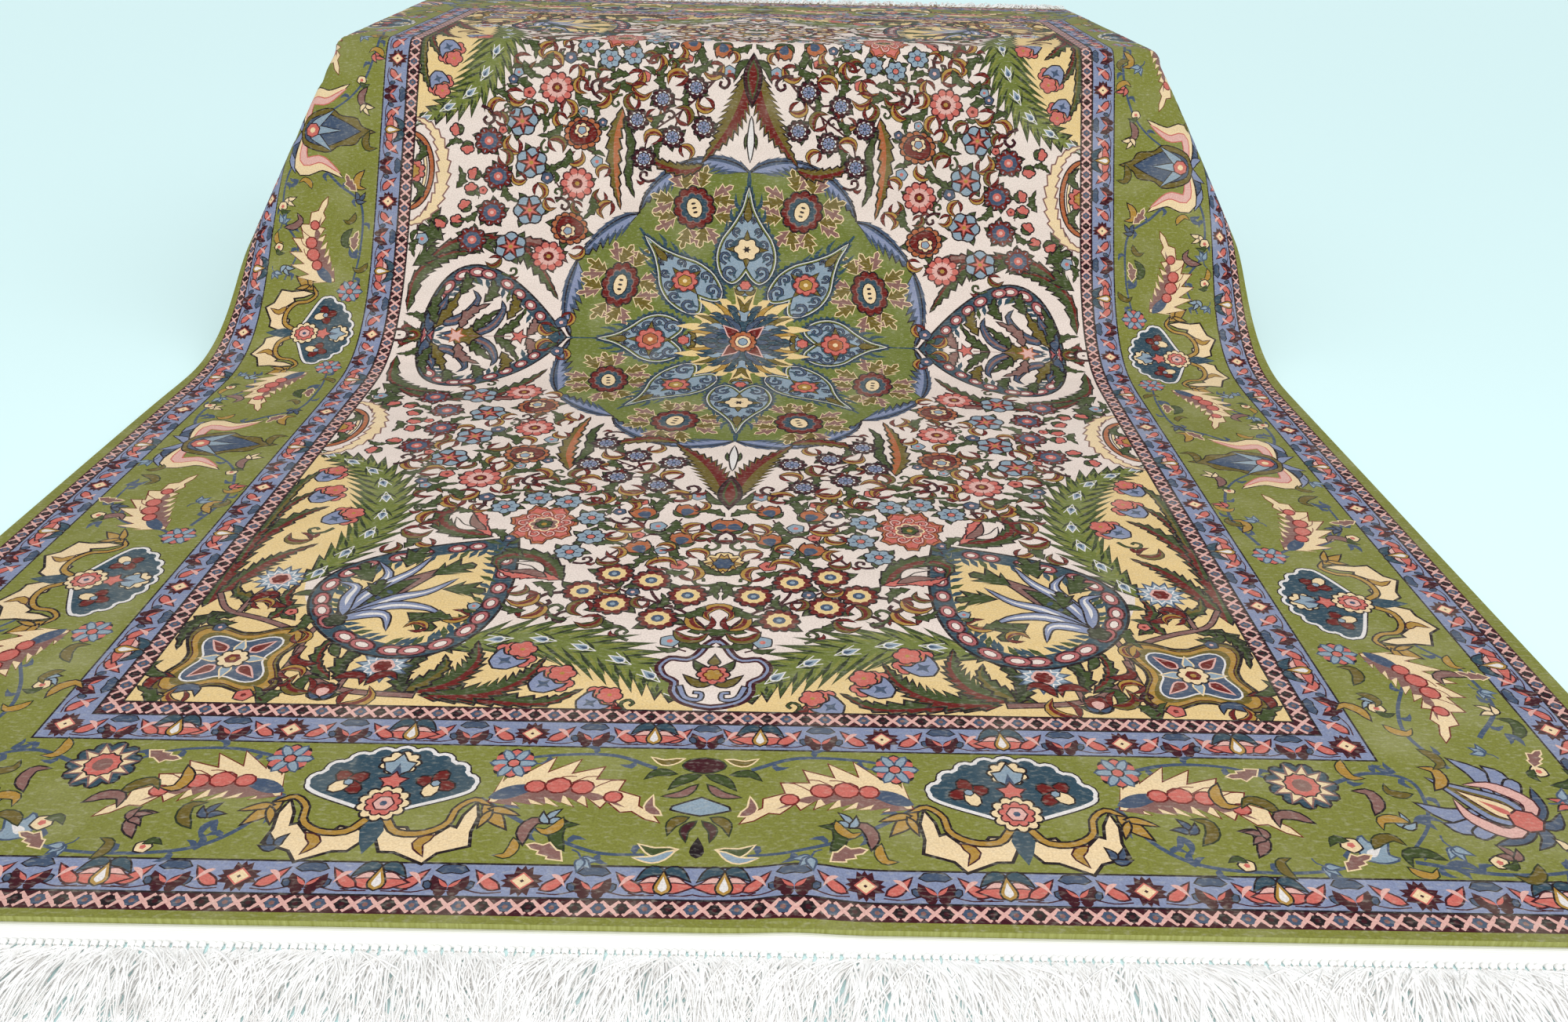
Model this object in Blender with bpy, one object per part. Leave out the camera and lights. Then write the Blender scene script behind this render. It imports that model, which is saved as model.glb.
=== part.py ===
"""Oriental pile carpet that lies on the floor, bends up, falls over a low table and lies on its top.

Metres, +Z up. The origin is on the floor under the middle of the carpet's flat front panel, +Y runs
from the front fringe to the table, and the table's sides are square to the frame. The carpet lies
slightly askew to the table, so it bends along lines that are not quite square to its own edges.
"""
import math

import bmesh
import bpy
import numpy as np

# Carpet, as it was woven
CARPET_WIDTH = 2.016
PILE_LENGTH = 2.904
PILE_THICKNESS = 0.009
KILIM_WIDTH = 0.021
KILIM_THICKNESS = 0.003
PIECE_GAP = 0.0003

# Fringe: locks of knotted warp ends that leave a narrow strip
STRIP_WIDTH = 0.006
STRIP_THICKNESS = 0.004
LOCK_COUNT = 84
LOCK_LENGTH = 0.072
LOCK_WIDTH_SHARE = 0.46
LOCK_TIP_THICKNESS = 0.002
LOCK_TIP_SHARE = 0.6
LOCK_SPLAY = 0.005
LOCK_VARIATION = 0.06
LOCK_DROOP = math.radians(62)
DROOP_FROM_TILT = 0.8
DROOP_FULL_TILT = 0.2

# Low table under the rear half
TABLE_HEIGHT = 0.525
TABLE_WIDTH = 1.640
TABLE_DEPTH = 0.960
TABLE_CENTRE_X = 0.035
TOP_THICKNESS = 0.048
TOP_ROUNDING = 0.022
LEG_SIDE = 0.060
LEG_INSET = 0.045
APRON_HEIGHT = 0.070
APRON_THICKNESS = 0.020

# How the carpet lies
FRONT_EDGE_Y = -0.861
SKEW = math.radians(1.8)
LIFT_OFF = 0.430
LIFT_BEND = 0.381
SLOPE_ANGLE = math.radians(57)
FRONT_FOLD = 0.040
SIDE_FOLD = 0.036
REST_GAP = 0.0005
EDGE_GAP = 0.0045
FOLD_ROUNDING = 0.012

# Corner fold between the sloping front and the hanging side
CORNER_START = math.radians(15)
CORNER_TAKE_UP = 0.58
CORNER_END_HEADING = (-0.45, 0.89, 0.0)
CORNER_STEPS = 48

# Belly where the middle lifts first, a pucker in the front hem and ripples in the hanging sides
BELLY_SHIFT = 0.040
BELLY_PLACE = 0.600
BELLY_LENGTH = 0.180
BELLY_HALF_WIDTH = 0.800
PUCKER_HEIGHT = 0.009
PUCKER_PLACE = 0.095
PUCKER_HALF_WIDTH = 0.038
PUCKER_SLANT = 0.12
PUCKER_RISE = 0.050
PUCKER_START = 0.030
PUCKER_REACH = 0.170
RIPPLE_HEIGHT = 0.010
RIPPLE_FULL_DROP = 0.220
RIPPLE_LIMIT = 1.3
RIPPLE_LENGTH = 0.310
RIPPLE_PHASE = {-1: 0.4, 1: 2.1}

# Grid on which the folds are worked out
CELL = 0.01
BLOCK_DROP = 0.30
GRID_MARGIN = 0.16
SMOOTH_PASSES = 26
SMOOTH_SHARE = 0.5
FLAT_LIMIT = 0.0002

# Stations of the faceted solid: each row says up to where, and how far apart
ACROSS_STATIONS = (
    {"upto": -0.90, "step": 0.036},
    {"upto": -0.79, "step": 0.014},
    {"upto": -0.66, "step": 0.043},
    {"upto": 0.02, "step": 0.170},
    {"upto": 0.17, "step": 0.0375},
    {"upto": 0.59, "step": 0.140},
    {"upto": 0.75, "step": 0.040},
    {"upto": 0.86, "step": 0.014},
    {"upto": CARPET_WIDTH / 2, "step": 0.037},
)
ALONG_STATIONS = (
    {"upto": 0.20, "step": 0.066},
    {"upto": 1.26, "step": 0.212},
    {"upto": 1.64, "step": 0.048},
    {"upto": 2.02, "step": 0.042},
    {"upto": 2.17, "step": 0.0150},
    {"upto": 2.38, "step": 0.063},
    {"upto": PILE_LENGTH, "step": 0.0937},
)

COLOURS = {
    "carpet_body": (0.36, 0.33, 0.20, 1),
    "kilim": (0.86, 0.84, 0.78, 1),
    "fringe": (0.88, 0.86, 0.81, 1),
    "table": (0.42, 0.29, 0.18, 1),
}


def ease(value):
    """Soft step from 0 to 1."""
    t = np.clip(value, 0, 1)
    return t * t * (3 - 2 * t)


def bend_profile(bends, length, step=0.001):
    """Path of a strip that is straight but for soft bends: arrays of distance, run and rise."""
    along = np.arange(0, length + step, step)
    angle = np.zeros_like(along)
    for bend in bends:
        angle += bend["turn"] * ease((along - bend["start"]) / bend["length"])
    middle = (angle[1:] + angle[:-1]) / 2
    run = np.concatenate([[0], np.cumsum(np.cos(middle) * step)])
    rise = np.concatenate([[0], np.cumsum(np.sin(middle) * step)])
    return along, run, rise


def front_profile():
    """Side view of the carpet past the lift-off line, with the slope as long as the table is high."""
    lift = {"start": 0, "length": LIFT_BEND, "turn": SLOPE_ANGLE}
    fold = {"start": 0, "length": FRONT_FOLD, "turn": -SLOPE_ANGLE}
    lift_rise = bend_profile([lift], LIFT_BEND)[2][-1]
    ahead = {"start": -1, "length": 0.5, "turn": SLOPE_ANGLE}
    fold_rise = bend_profile([ahead, fold], FRONT_FOLD)[2][-1]
    slope = (TABLE_HEIGHT + REST_GAP - lift_rise - fold_rise) / math.sin(SLOPE_ANGLE)
    fold["start"] = LIFT_BEND + slope
    along, run, rise = bend_profile([lift, fold], 3.0)
    return along, run, rise, fold["start"] + FRONT_FOLD / 2


def corner_fan(side):
    """Directions of the folds that fan out from a table corner, spaced evenly by angle."""
    down_slope = np.array([0, -math.cos(SLOPE_ANGLE), -math.sin(SLOPE_ANGLE)])
    outward = np.array([side, 0, 0])
    first = outward * math.sin(CORNER_START) + down_slope * math.cos(CORNER_START)
    first_heading = outward * math.cos(CORNER_START) - down_slope * math.sin(CORNER_START)
    last = np.array([0.0, 0.0, -1.0])
    last_heading = np.array(CORNER_END_HEADING) * np.array([side, 1, 1])
    t = np.linspace(0, 1, 400)[:, None]
    wanted = (math.pi / 2 - CORNER_START) * CORNER_TAKE_UP

    def curve(pull):
        rays = ((2 * t**3 - 3 * t**2 + 1) * first + (t**3 - 2 * t**2 + t) * pull * first_heading
                + (3 * t**2 - 2 * t**3) * last + (t**3 - t**2) * pull * last_heading)
        rays /= np.linalg.norm(rays, axis=1)[:, None]
        steps = np.linalg.norm(np.diff(rays, axis=0), axis=1)
        return rays, np.concatenate([[0], np.cumsum(steps)])

    low, high = 0.1, 8.0
    for _ in range(40):
        pull = (low + high) / 2
        rays, reach = curve(pull)
        if reach[-1] < wanted:
            low = pull
        else:
            high = pull
    even = np.linspace(0, reach[-1], CORNER_STEPS)
    fan = np.stack([np.interp(even, reach, rays[:, axis]) for axis in range(3)], axis=1)
    return even / CORNER_TAKE_UP, fan / np.linalg.norm(fan, axis=1)[:, None]


class Drape:
    """Underside of the carpet in space, for a point so far across it and so far along it."""

    def __init__(self):
        self.along, self.run, self.rise, self.edge_along = front_profile()
        self.edge = LIFT_OFF + self.edge_along
        self.edge_y = LIFT_OFF + float(np.interp(self.edge_along, self.along, self.run))
        self.half = TABLE_WIDTH / 2 + EDGE_GAP
        self.side_profile = bend_profile(
            [{"start": 0, "length": SIDE_FOLD, "turn": -math.pi / 2}], 0.5)
        self.fans = {side: corner_fan(side) for side in (-1, 1)}
        self.table_low = np.array([TABLE_CENTRE_X - TABLE_WIDTH / 2, self.edge_y + EDGE_GAP,
                                   TABLE_HEIGHT - TOP_THICKNESS])
        self.table_high = np.array([TABLE_CENTRE_X + TABLE_WIDTH / 2,
                                    self.edge_y + EDGE_GAP + TABLE_DEPTH, TABLE_HEIGHT])
        half_width = CARPET_WIDTH / 2
        self.across_axis = np.arange(-half_width - GRID_MARGIN, half_width + GRID_MARGIN, CELL)
        self.along_axis = np.arange(-GRID_MARGIN, PILE_LENGTH + GRID_MARGIN, CELL)
        self.grid = self.worked_grid()
        self.normals = self.grid_normals()

    def path(self, b):
        """Run and rise at a distance b along the drape, measured from the origin."""
        beyond = np.maximum(b - LIFT_OFF, 0)
        run = np.interp(beyond, self.along, self.run)
        rise = np.interp(beyond, self.along, self.rise)
        return np.where(b < LIFT_OFF, b, LIFT_OFF + run), rise

    def folded_grid(self):
        """The exact folds, with creases still sharp at the table's corners."""
        across, along = np.meshgrid(self.across_axis, self.along_axis, indexing="ij")
        flat = along + FRONT_EDGE_Y
        a = across * math.cos(SKEW) + flat * math.sin(SKEW)
        b = flat * math.cos(SKEW) - across * math.sin(SKEW)
        belly = BELLY_SHIFT * np.exp(-((b - BELLY_PLACE) / BELLY_LENGTH) ** 2)
        b_lift = b + belly * np.exp(-(a / BELLY_HALF_WIDTH) ** 2)
        y, z = self.path(b_lift)
        points = np.stack([a, y - (b_lift - b), z], axis=-1)
        for side in (-1, 1):
            beyond = side * (a - TABLE_CENTRE_X) - self.half
            self.hang_side(points, b, beyond, side)
            self.fan_corner(points, b, beyond, side)
        return points

    def hang_side(self, points, b, beyond, side):
        """Turn what lies past the table's side straight down."""
        arc = beyond + SIDE_FOLD / 2
        hangs = (arc > 0) & (b >= self.edge)
        along, run, rise = self.side_profile
        out = np.interp(arc, along, run) - SIDE_FOLD / 2
        drop = np.interp(arc, along, rise)
        depth = np.clip(beyond / RIPPLE_FULL_DROP, 0, RIPPLE_LIMIT)
        wave = np.sin(2 * math.pi * b / RIPPLE_LENGTH + RIPPLE_PHASE[side])
        ripple = RIPPLE_HEIGHT * depth**2 * (1 + wave) / 2
        points[..., 0] = np.where(
            hangs, TABLE_CENTRE_X + side * (self.half + out + ripple), points[..., 0])
        points[..., 2] += np.where(hangs, drop, 0)

    def fan_corner(self, points, b, beyond, side):
        """Swing the wedge between the slope and the hanging side round the table's corner."""
        below = self.edge - b
        turn = np.arctan2(beyond, below)
        wedge = (below > 0) & (beyond > 0) & (turn > CORNER_START)
        reach = np.hypot(beyond, below)
        even, fan = self.fans[side]
        for axis in range(3):
            plane = (side * np.sin(turn), -math.cos(SLOPE_ANGLE) * np.cos(turn),
                     -math.sin(SLOPE_ANGLE) * np.cos(turn))[axis]
            swung = np.interp(turn - CORNER_START, even, fan[:, axis])
            points[..., axis] += np.where(wedge, reach * (swung - plane), 0)

    def keep_off_table(self, points):
        """Push points out of the rounded block of the table top, 2 mm clear of its edges."""
        low = self.table_low - [0, 0, BLOCK_DROP]
        high = self.table_high - [0, 0, EDGE_GAP - REST_GAP]
        centre, half = (low + high) / 2, (high - low) / 2 - FOLD_ROUNDING
        offset = points - centre
        outside = np.maximum(np.abs(offset) - half, 0)
        distance = np.linalg.norm(outside, axis=-1)
        wanted = FOLD_ROUNDING + EDGE_GAP
        pushed = (distance > 1e-9) & (distance < wanted)
        scale = np.where(pushed, wanted / np.maximum(distance, 1e-9), 1)[..., None]
        fixed = centre + np.sign(offset) * (np.minimum(np.abs(offset), half) + outside * scale)
        return np.where(pushed[..., None], fixed, points)

    def pucker(self, points):
        """The short raised crease in the front hem."""
        across, along = np.meshgrid(self.across_axis, self.along_axis, indexing="ij")
        swell = ease((along + KILIM_WIDTH) / PUCKER_RISE)
        swell *= 1 - ease((along - PUCKER_START) / PUCKER_REACH)
        middle = PUCKER_PLACE + PUCKER_SLANT * along
        hump = np.exp(-((across - middle) / PUCKER_HALF_WIDTH) ** 2)
        height = PUCKER_HEIGHT * swell * hump
        points[..., 2] += np.where(height > FLAT_LIMIT, height, 0)

    def worked_grid(self):
        points = self.folded_grid()
        for _ in range(SMOOTH_PASSES):
            mean = points.copy()
            mean[1:-1, 1:-1] = (points[2:, 1:-1] + points[:-2, 1:-1]
                                + points[1:-1, 2:] + points[1:-1, :-2]) / 4
            points += (mean - points) * SMOOTH_SHARE
            points = self.keep_off_table(points)
            points[..., 2] = np.maximum(points[..., 2], 0)
        resting = points[..., 2] < FLAT_LIMIT
        points[..., 2] = np.where(resting, 0, points[..., 2])
        top = TABLE_HEIGHT + REST_GAP
        on_top = np.abs(points[..., 2] - top) < FLAT_LIMIT
        points[..., 2] = np.where(on_top, top, points[..., 2])
        self.pucker(points)
        return points

    def grid_normals(self):
        normal = np.cross(np.gradient(self.grid, axis=0), np.gradient(self.grid, axis=1))
        return normal / np.linalg.norm(normal, axis=-1)[..., None]

    def read(self, field, across, along):
        """A grid's value between its points."""
        i = (across - self.across_axis[0]) / CELL
        j = (along - self.along_axis[0]) / CELL
        i0 = min(max(int(i), 0), len(self.across_axis) - 2)
        j0 = min(max(int(j), 0), len(self.along_axis) - 2)
        u, w = i - i0, j - j0
        return ((field[i0, j0] * (1 - u) + field[i0 + 1, j0] * u) * (1 - w)
                + (field[i0, j0 + 1] * (1 - u) + field[i0 + 1, j0 + 1] * u) * w)

    def point(self, across, along, height=0.0):
        """A point of the carpet at a height over its underside."""
        base = self.read(self.grid, across, along)
        normal = self.read(self.normals, across, along)
        return base + normal / np.linalg.norm(normal) * height


def material(name, colour, roughness):
    made = bpy.data.materials.new(name)
    made.use_nodes = True
    shader = made.node_tree.nodes["Principled BSDF"]
    shader.inputs["Base Color"].default_value = colour
    shader.inputs["Roughness"].default_value = roughness
    shader.inputs["Metallic"].default_value = 0.0
    return made


def add_object(name, bm, surface, smooth=False):
    """Turn a bmesh into a named object with its own material."""
    bmesh.ops.recalc_face_normals(bm, faces=bm.faces)
    mesh = bpy.data.meshes.new(name)
    bm.to_mesh(mesh)
    bm.free()
    if smooth:
        mesh.shade_smooth()
    made = bpy.data.objects.new(name, mesh)
    made.data.materials.append(surface)
    bpy.context.scene.collection.objects.link(made)
    return made


def stations(rows, start):
    """Places along a line, as a table of reaches and steps gives them."""
    places = [start]
    for row in rows:
        span = row["upto"] - places[-1]
        count = max(1, round(span / row["step"]))
        first = places[-1]
        places.extend(first + span * (index + 1) / count for index in range(count))
    return places


def sheet_solid(drape, across_places, along_places, thickness):
    """Closed sheet on the drape between the given stations."""
    bm = bmesh.new()
    layers = []
    for height in (0, thickness):
        layers.append([[bm.verts.new(drape.point(across, along, height)) for along in along_places]
                       for across in across_places])
    under, over = layers
    across_count, along_count = len(across_places), len(along_places)
    for i in range(across_count - 1):
        for j in range(along_count - 1):
            for layer in layers:
                corners = [layer[i][j], layer[i + 1][j], layer[i + 1][j + 1], layer[i][j + 1]]
                if across_places[i] > 0:
                    corners = corners[1:] + corners[:1]
                bm.faces.new((corners[0], corners[1], corners[2]))
                bm.faces.new((corners[0], corners[2], corners[3]))
    rim = [(i, 0) for i in range(across_count)]
    rim += [(across_count - 1, j) for j in range(1, along_count)]
    rim += [(i, along_count - 1) for i in range(across_count - 2, -1, -1)]
    rim += [(0, j) for j in range(along_count - 2, 0, -1)]
    for (i, j), (k, m) in zip(rim, rim[1:] + rim[:1]):
        bm.faces.new((under[i][j], under[k][m], over[k][m], over[i][j]))
    return bm


def add_carpet(drape):
    across = stations(ACROSS_STATIONS, -CARPET_WIDTH / 2)
    along = stations(ALONG_STATIONS, 0.0)
    bm = sheet_solid(drape, across, along, PILE_THICKNESS)
    add_object("carpet_body", bm, material("carpet_pile", COLOURS["carpet_body"], 0.9), smooth=True)


def add_kilim(drape, name, near, far):
    """Flat-woven band past one end of the pile."""
    bm = sheet_solid(drape, stations(ACROSS_STATIONS, -CARPET_WIDTH / 2), [near, far],
                     KILIM_THICKNESS)
    add_object(name, bm, material(name, COLOURS["kilim"], 0.9))


def lock_direction(drape, across, along, outward):
    """Way a lock points: along the cloth, or drooping where the cloth hangs."""
    tangent = drape.point(across, along + outward * CELL) - drape.point(across, along)
    tangent /= np.linalg.norm(tangent)
    normal = drape.read(drape.normals, across, along)
    hang = float(ease((DROOP_FROM_TILT - abs(normal[2])) / (DROOP_FROM_TILT - DROOP_FULL_TILT)))
    droop = hang * LOCK_DROOP
    down = np.array([0.0, 0.0, -1.0])
    return tangent * math.cos(droop) + down * math.sin(droop)


def add_fringe(drape, name, root, outward):
    """Strip with a row of locks, made as one closed body of joined boxes."""
    bm = bmesh.new()
    cells = 2 * LOCK_COUNT + 1
    pitch = CARPET_WIDTH / (LOCK_COUNT + (LOCK_COUNT + 1) * (1 / LOCK_WIDTH_SHARE - 1))
    gap = pitch * (1 / LOCK_WIDTH_SHARE - 1)
    places = [-CARPET_WIDTH / 2]
    for index in range(cells):
        places.append(places[-1] + (pitch if index % 2 else gap))
    far = root + outward * STRIP_WIDTH
    rows = []
    for across in places:
        row = [bm.verts.new(drape.point(across, along, height))
               for along in (root, far) for height in (0, STRIP_THICKNESS)]
        rows.append(row)
    for index in range(cells):
        a, b = rows[index], rows[index + 1]
        bm.faces.new((a[0], b[0], b[1], a[1]))
        bm.faces.new((a[0], a[2], b[2], b[0]))
        bm.faces.new((a[1], b[1], b[3], a[3]))
        if index % 2:
            add_lock(bm, drape, (a[2], b[2], b[3], a[3]), places[index:index + 2], far, outward,
                     index)
        else:
            bm.faces.new((a[2], a[3], b[3], b[2]))
    for row in (rows[0], rows[-1]):
        bm.faces.new((row[0], row[1], row[3], row[2]))
    add_object(name, bm, material(name, COLOURS["fringe"], 0.85))


def add_lock(bm, drape, root, places, along, outward, index):
    """One tapered lock out of the strip's edge, level with what it lies on."""
    middle = sum(places) / 2
    direction = lock_direction(drape, middle, along, outward)
    sideways = drape.point(places[1], along) - drape.point(places[0], along)
    sideways /= np.linalg.norm(sideways)
    normal = drape.read(drape.normals, middle, along)
    normal /= np.linalg.norm(normal)
    base = drape.point(middle, along)
    length = LOCK_LENGTH * (1 + LOCK_VARIATION * math.sin(2.3 * index))
    tip = base + direction * length + sideways * LOCK_SPLAY * math.sin(1.7 * index)
    half = (places[1] - places[0]) / 2 * LOCK_TIP_SHARE
    corners = [(-half, 0), (half, 0), (half, LOCK_TIP_THICKNESS), (-half, LOCK_TIP_THICKNESS)]
    end = [bm.verts.new(tip + sideways * shift + normal * height) for shift, height in corners]
    for k in range(4):
        m = (k + 1) % 4
        bm.faces.new((root[k], end[k], end[m], root[m]))
    bm.faces.new(end)


def add_block(name, low, high, surface, rounding=0.0):
    """Rectangular piece of the table, its edges eased where a rounding is given."""
    bm = bmesh.new()
    bmesh.ops.create_cube(bm, size=1.0)
    size = [b - a for a, b in zip(low, high)]
    middle = [(a + b) / 2 for a, b in zip(low, high)]
    bmesh.ops.scale(bm, vec=size, verts=bm.verts)
    bmesh.ops.translate(bm, vec=middle, verts=bm.verts)
    made = add_object(name, bm, surface)
    if rounding:
        bevel = made.modifiers.new("eased_edges", "BEVEL")
        bevel.width = rounding
        bevel.segments = 4
        bevel.limit_method = "NONE"


def add_table(drape):
    wood = COLOURS["table"]
    low, high = drape.table_low, drape.table_high
    add_block("table_top", low, high, material("table_top", wood, 0.5), TOP_ROUNDING)
    under = float(low[2]) - PIECE_GAP
    legs_x = (low[0] + LEG_INSET, high[0] - LEG_INSET - LEG_SIDE)
    legs_y = (low[1] + LEG_INSET, high[1] - LEG_INSET - LEG_SIDE)
    for x, side in zip(legs_x, ("left", "right")):
        for y, end in zip(legs_y, ("front", "back")):
            name = f"leg_{end}_{side}"
            add_block(name, (x, y, 0), (x + LEG_SIDE, y + LEG_SIDE, under),
                      material(name, wood, 0.5))
    inset = (LEG_SIDE - APRON_THICKNESS) / 2
    for y, end in zip(legs_y, ("front", "back")):
        add_block(f"apron_{end}",
                  (legs_x[0] + LEG_SIDE + PIECE_GAP, y + inset, under - APRON_HEIGHT),
                  (legs_x[1] - PIECE_GAP, y + inset + APRON_THICKNESS, under),
                  material(f"apron_{end}", wood, 0.5))
    for x, side in zip(legs_x, ("left", "right")):
        add_block(f"apron_{side}",
                  (x + inset, legs_y[0] + LEG_SIDE + PIECE_GAP, under - APRON_HEIGHT),
                  (x + inset + APRON_THICKNESS, legs_y[1] - PIECE_GAP, under),
                  material(f"apron_{side}", wood, 0.5))


def build():
    for existing in list(bpy.data.objects):
        bpy.data.objects.remove(existing, do_unlink=True)
    drape = Drape()
    add_carpet(drape)
    add_kilim(drape, "kilim_front", -PIECE_GAP, -PIECE_GAP - KILIM_WIDTH)
    add_kilim(drape, "kilim_back", PILE_LENGTH + PIECE_GAP, PILE_LENGTH + PIECE_GAP + KILIM_WIDTH)
    reach = KILIM_WIDTH + 2 * PIECE_GAP
    add_fringe(drape, "fringe_front", -reach, -1)
    add_fringe(drape, "fringe_back", PILE_LENGTH + reach, 1)
    add_table(drape)


build()
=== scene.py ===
"""Dressed oriental carpet: knotted floral pile, kilim ends and a thick fringe, draped over a low table.

Metres, +Z up, in the CAD frame. The carpet is drawn flat, in metres across (s) and along (v) from
the front edge of its pile, as one quarter of closed shapes laid over each other. The quarter is
cut into triangles, mirrored to four and laid on the same folds as the CAD sheet.
"""
import math

import bpy
import numpy as np
from mathutils import Matrix, Vector
from mathutils.geometry import delaunay_2d_cdt


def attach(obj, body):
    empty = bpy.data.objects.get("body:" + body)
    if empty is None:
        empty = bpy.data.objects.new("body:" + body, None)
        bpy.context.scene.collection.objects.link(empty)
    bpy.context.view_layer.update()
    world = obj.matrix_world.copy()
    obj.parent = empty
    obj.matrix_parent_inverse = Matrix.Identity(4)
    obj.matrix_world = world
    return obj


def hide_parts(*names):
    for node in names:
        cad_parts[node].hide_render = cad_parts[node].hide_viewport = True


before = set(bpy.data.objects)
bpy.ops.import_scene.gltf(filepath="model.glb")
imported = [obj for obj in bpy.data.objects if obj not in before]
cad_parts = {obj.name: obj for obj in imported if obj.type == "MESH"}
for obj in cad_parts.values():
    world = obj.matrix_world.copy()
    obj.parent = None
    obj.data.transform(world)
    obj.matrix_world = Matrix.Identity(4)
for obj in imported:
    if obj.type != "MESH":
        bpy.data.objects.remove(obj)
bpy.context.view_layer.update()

# Carpet and table, the same values as in the CAD source
CARPET_WIDTH = 2.016
PILE_LENGTH = 2.904
PILE_THICKNESS = 0.009
KILIM_WIDTH = 0.021
KILIM_THICKNESS = 0.003
TABLE_HEIGHT = 0.525
TABLE_WIDTH = 1.640
TABLE_DEPTH = 0.960
TABLE_CENTRE_X = 0.035
FRONT_EDGE_Y = -0.861
SKEW = math.radians(1.8)
LIFT_OFF = 0.430
LIFT_BEND = 0.381
SLOPE_ANGLE = math.radians(57)
FRONT_FOLD = 0.040
SIDE_FOLD = 0.036
REST_GAP = 0.0005
PIECE_GAP = 0.0003
EDGE_GAP = 0.0045
FOLD_ROUNDING = 0.012
CORNER_START = math.radians(15)
CORNER_TAKE_UP = 0.58
CORNER_END_HEADING = (-0.45, 0.89, 0.0)
CORNER_STEPS = 48
BELLY_SHIFT = 0.040
BELLY_PLACE = 0.600
BELLY_LENGTH = 0.180
BELLY_HALF_WIDTH = 0.800
PUCKER_HEIGHT = 0.009
PUCKER_PLACE = 0.095
PUCKER_HALF_WIDTH = 0.038
PUCKER_SLANT = 0.12
PUCKER_RISE = 0.050
PUCKER_START = 0.030
PUCKER_REACH = 0.170
RIPPLE_HEIGHT = 0.010
RIPPLE_FULL_DROP = 0.220
RIPPLE_LIMIT = 1.3
RIPPLE_LENGTH = 0.310
RIPPLE_PHASE = {-1: 0.4, 1: 2.1}
CELL = 0.01
BLOCK_DROP = 0.30
GRID_MARGIN = 0.16
SMOOTH_PASSES = 26
SMOOTH_SHARE = 0.5
FLAT_LIMIT = 0.0002
TOP_THICKNESS = 0.048

# Quarter of the pattern and the depth of its bands from the ends and from the sides
HALF_WIDTH = CARPET_WIDTH / 2
HALF_LENGTH = PILE_LENGTH / 2
END_BANDS = (0.010, 0.033, 0.076, 0.256, 0.300, 0.324)
SIDE_BANDS = (0.018, 0.038, 0.081, 0.281, 0.325, 0.348)

# Camera of the photograph
LENS = 28.94
SENSOR = 36.0
CAMERA_AT = (0.0193, -1.6982, 0.865)
CAMERA_PITCH = math.radians(27.343)
CAMERA_YAW = math.radians(-2.12)
CAMERA_ROLL = math.radians(1.208)

# Dyes, as sRGB values of 0 to 255
DYES = {
    "green": (136, 139, 62),
    "medallion": (118, 128, 58),
    "leaf": (68, 82, 40),
    "dark_green": (48, 56, 34),
    "olive": (114, 98, 38),
    "ivory": (247, 230, 217),
    "yellow": (244, 212, 148),
    "cream": (250, 222, 174),
    "red": (114, 30, 26),
    "maroon": (68, 20, 30),
    "coral": (214, 112, 100),
    "pink": (236, 184, 172),
    "pale_blue": (148, 168, 182),
    "slate": (72, 88, 112),
    "teal": (54, 80, 94),
    "lavender": (140, 150, 180),
    "rust": (184, 104, 62),
    "mauve": (142, 102, 94),
    "gold": (184, 142, 62),
    "rose": (186, 104, 104),
    "ink": (34, 22, 26),
    "white": (242, 236, 230),
}
DYE_NAMES = list(DYES)


def ease(value):
    """Soft step from 0 to 1."""
    t = np.clip(value, 0, 1)
    return t * t * (3 - 2 * t)


def bend_profile(bends, length, step=0.001):
    """Path of a strip that is straight but for soft bends: arrays of distance, run and rise."""
    along = np.arange(0, length + step, step)
    angle = np.zeros_like(along)
    for bend in bends:
        angle += bend["turn"] * ease((along - bend["start"]) / bend["length"])
    middle = (angle[1:] + angle[:-1]) / 2
    run = np.concatenate([[0], np.cumsum(np.cos(middle) * step)])
    rise = np.concatenate([[0], np.cumsum(np.sin(middle) * step)])
    return along, run, rise


def front_profile():
    """Side view of the carpet past the lift-off line, with the slope as long as the table is high."""
    lift = {"start": 0, "length": LIFT_BEND, "turn": SLOPE_ANGLE}
    fold = {"start": 0, "length": FRONT_FOLD, "turn": -SLOPE_ANGLE}
    lift_rise = bend_profile([lift], LIFT_BEND)[2][-1]
    ahead = {"start": -1, "length": 0.5, "turn": SLOPE_ANGLE}
    fold_rise = bend_profile([ahead, fold], FRONT_FOLD)[2][-1]
    slope = (TABLE_HEIGHT + REST_GAP - lift_rise - fold_rise) / math.sin(SLOPE_ANGLE)
    fold["start"] = LIFT_BEND + slope
    along, run, rise = bend_profile([lift, fold], 3.0)
    return along, run, rise, fold["start"] + FRONT_FOLD / 2


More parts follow.
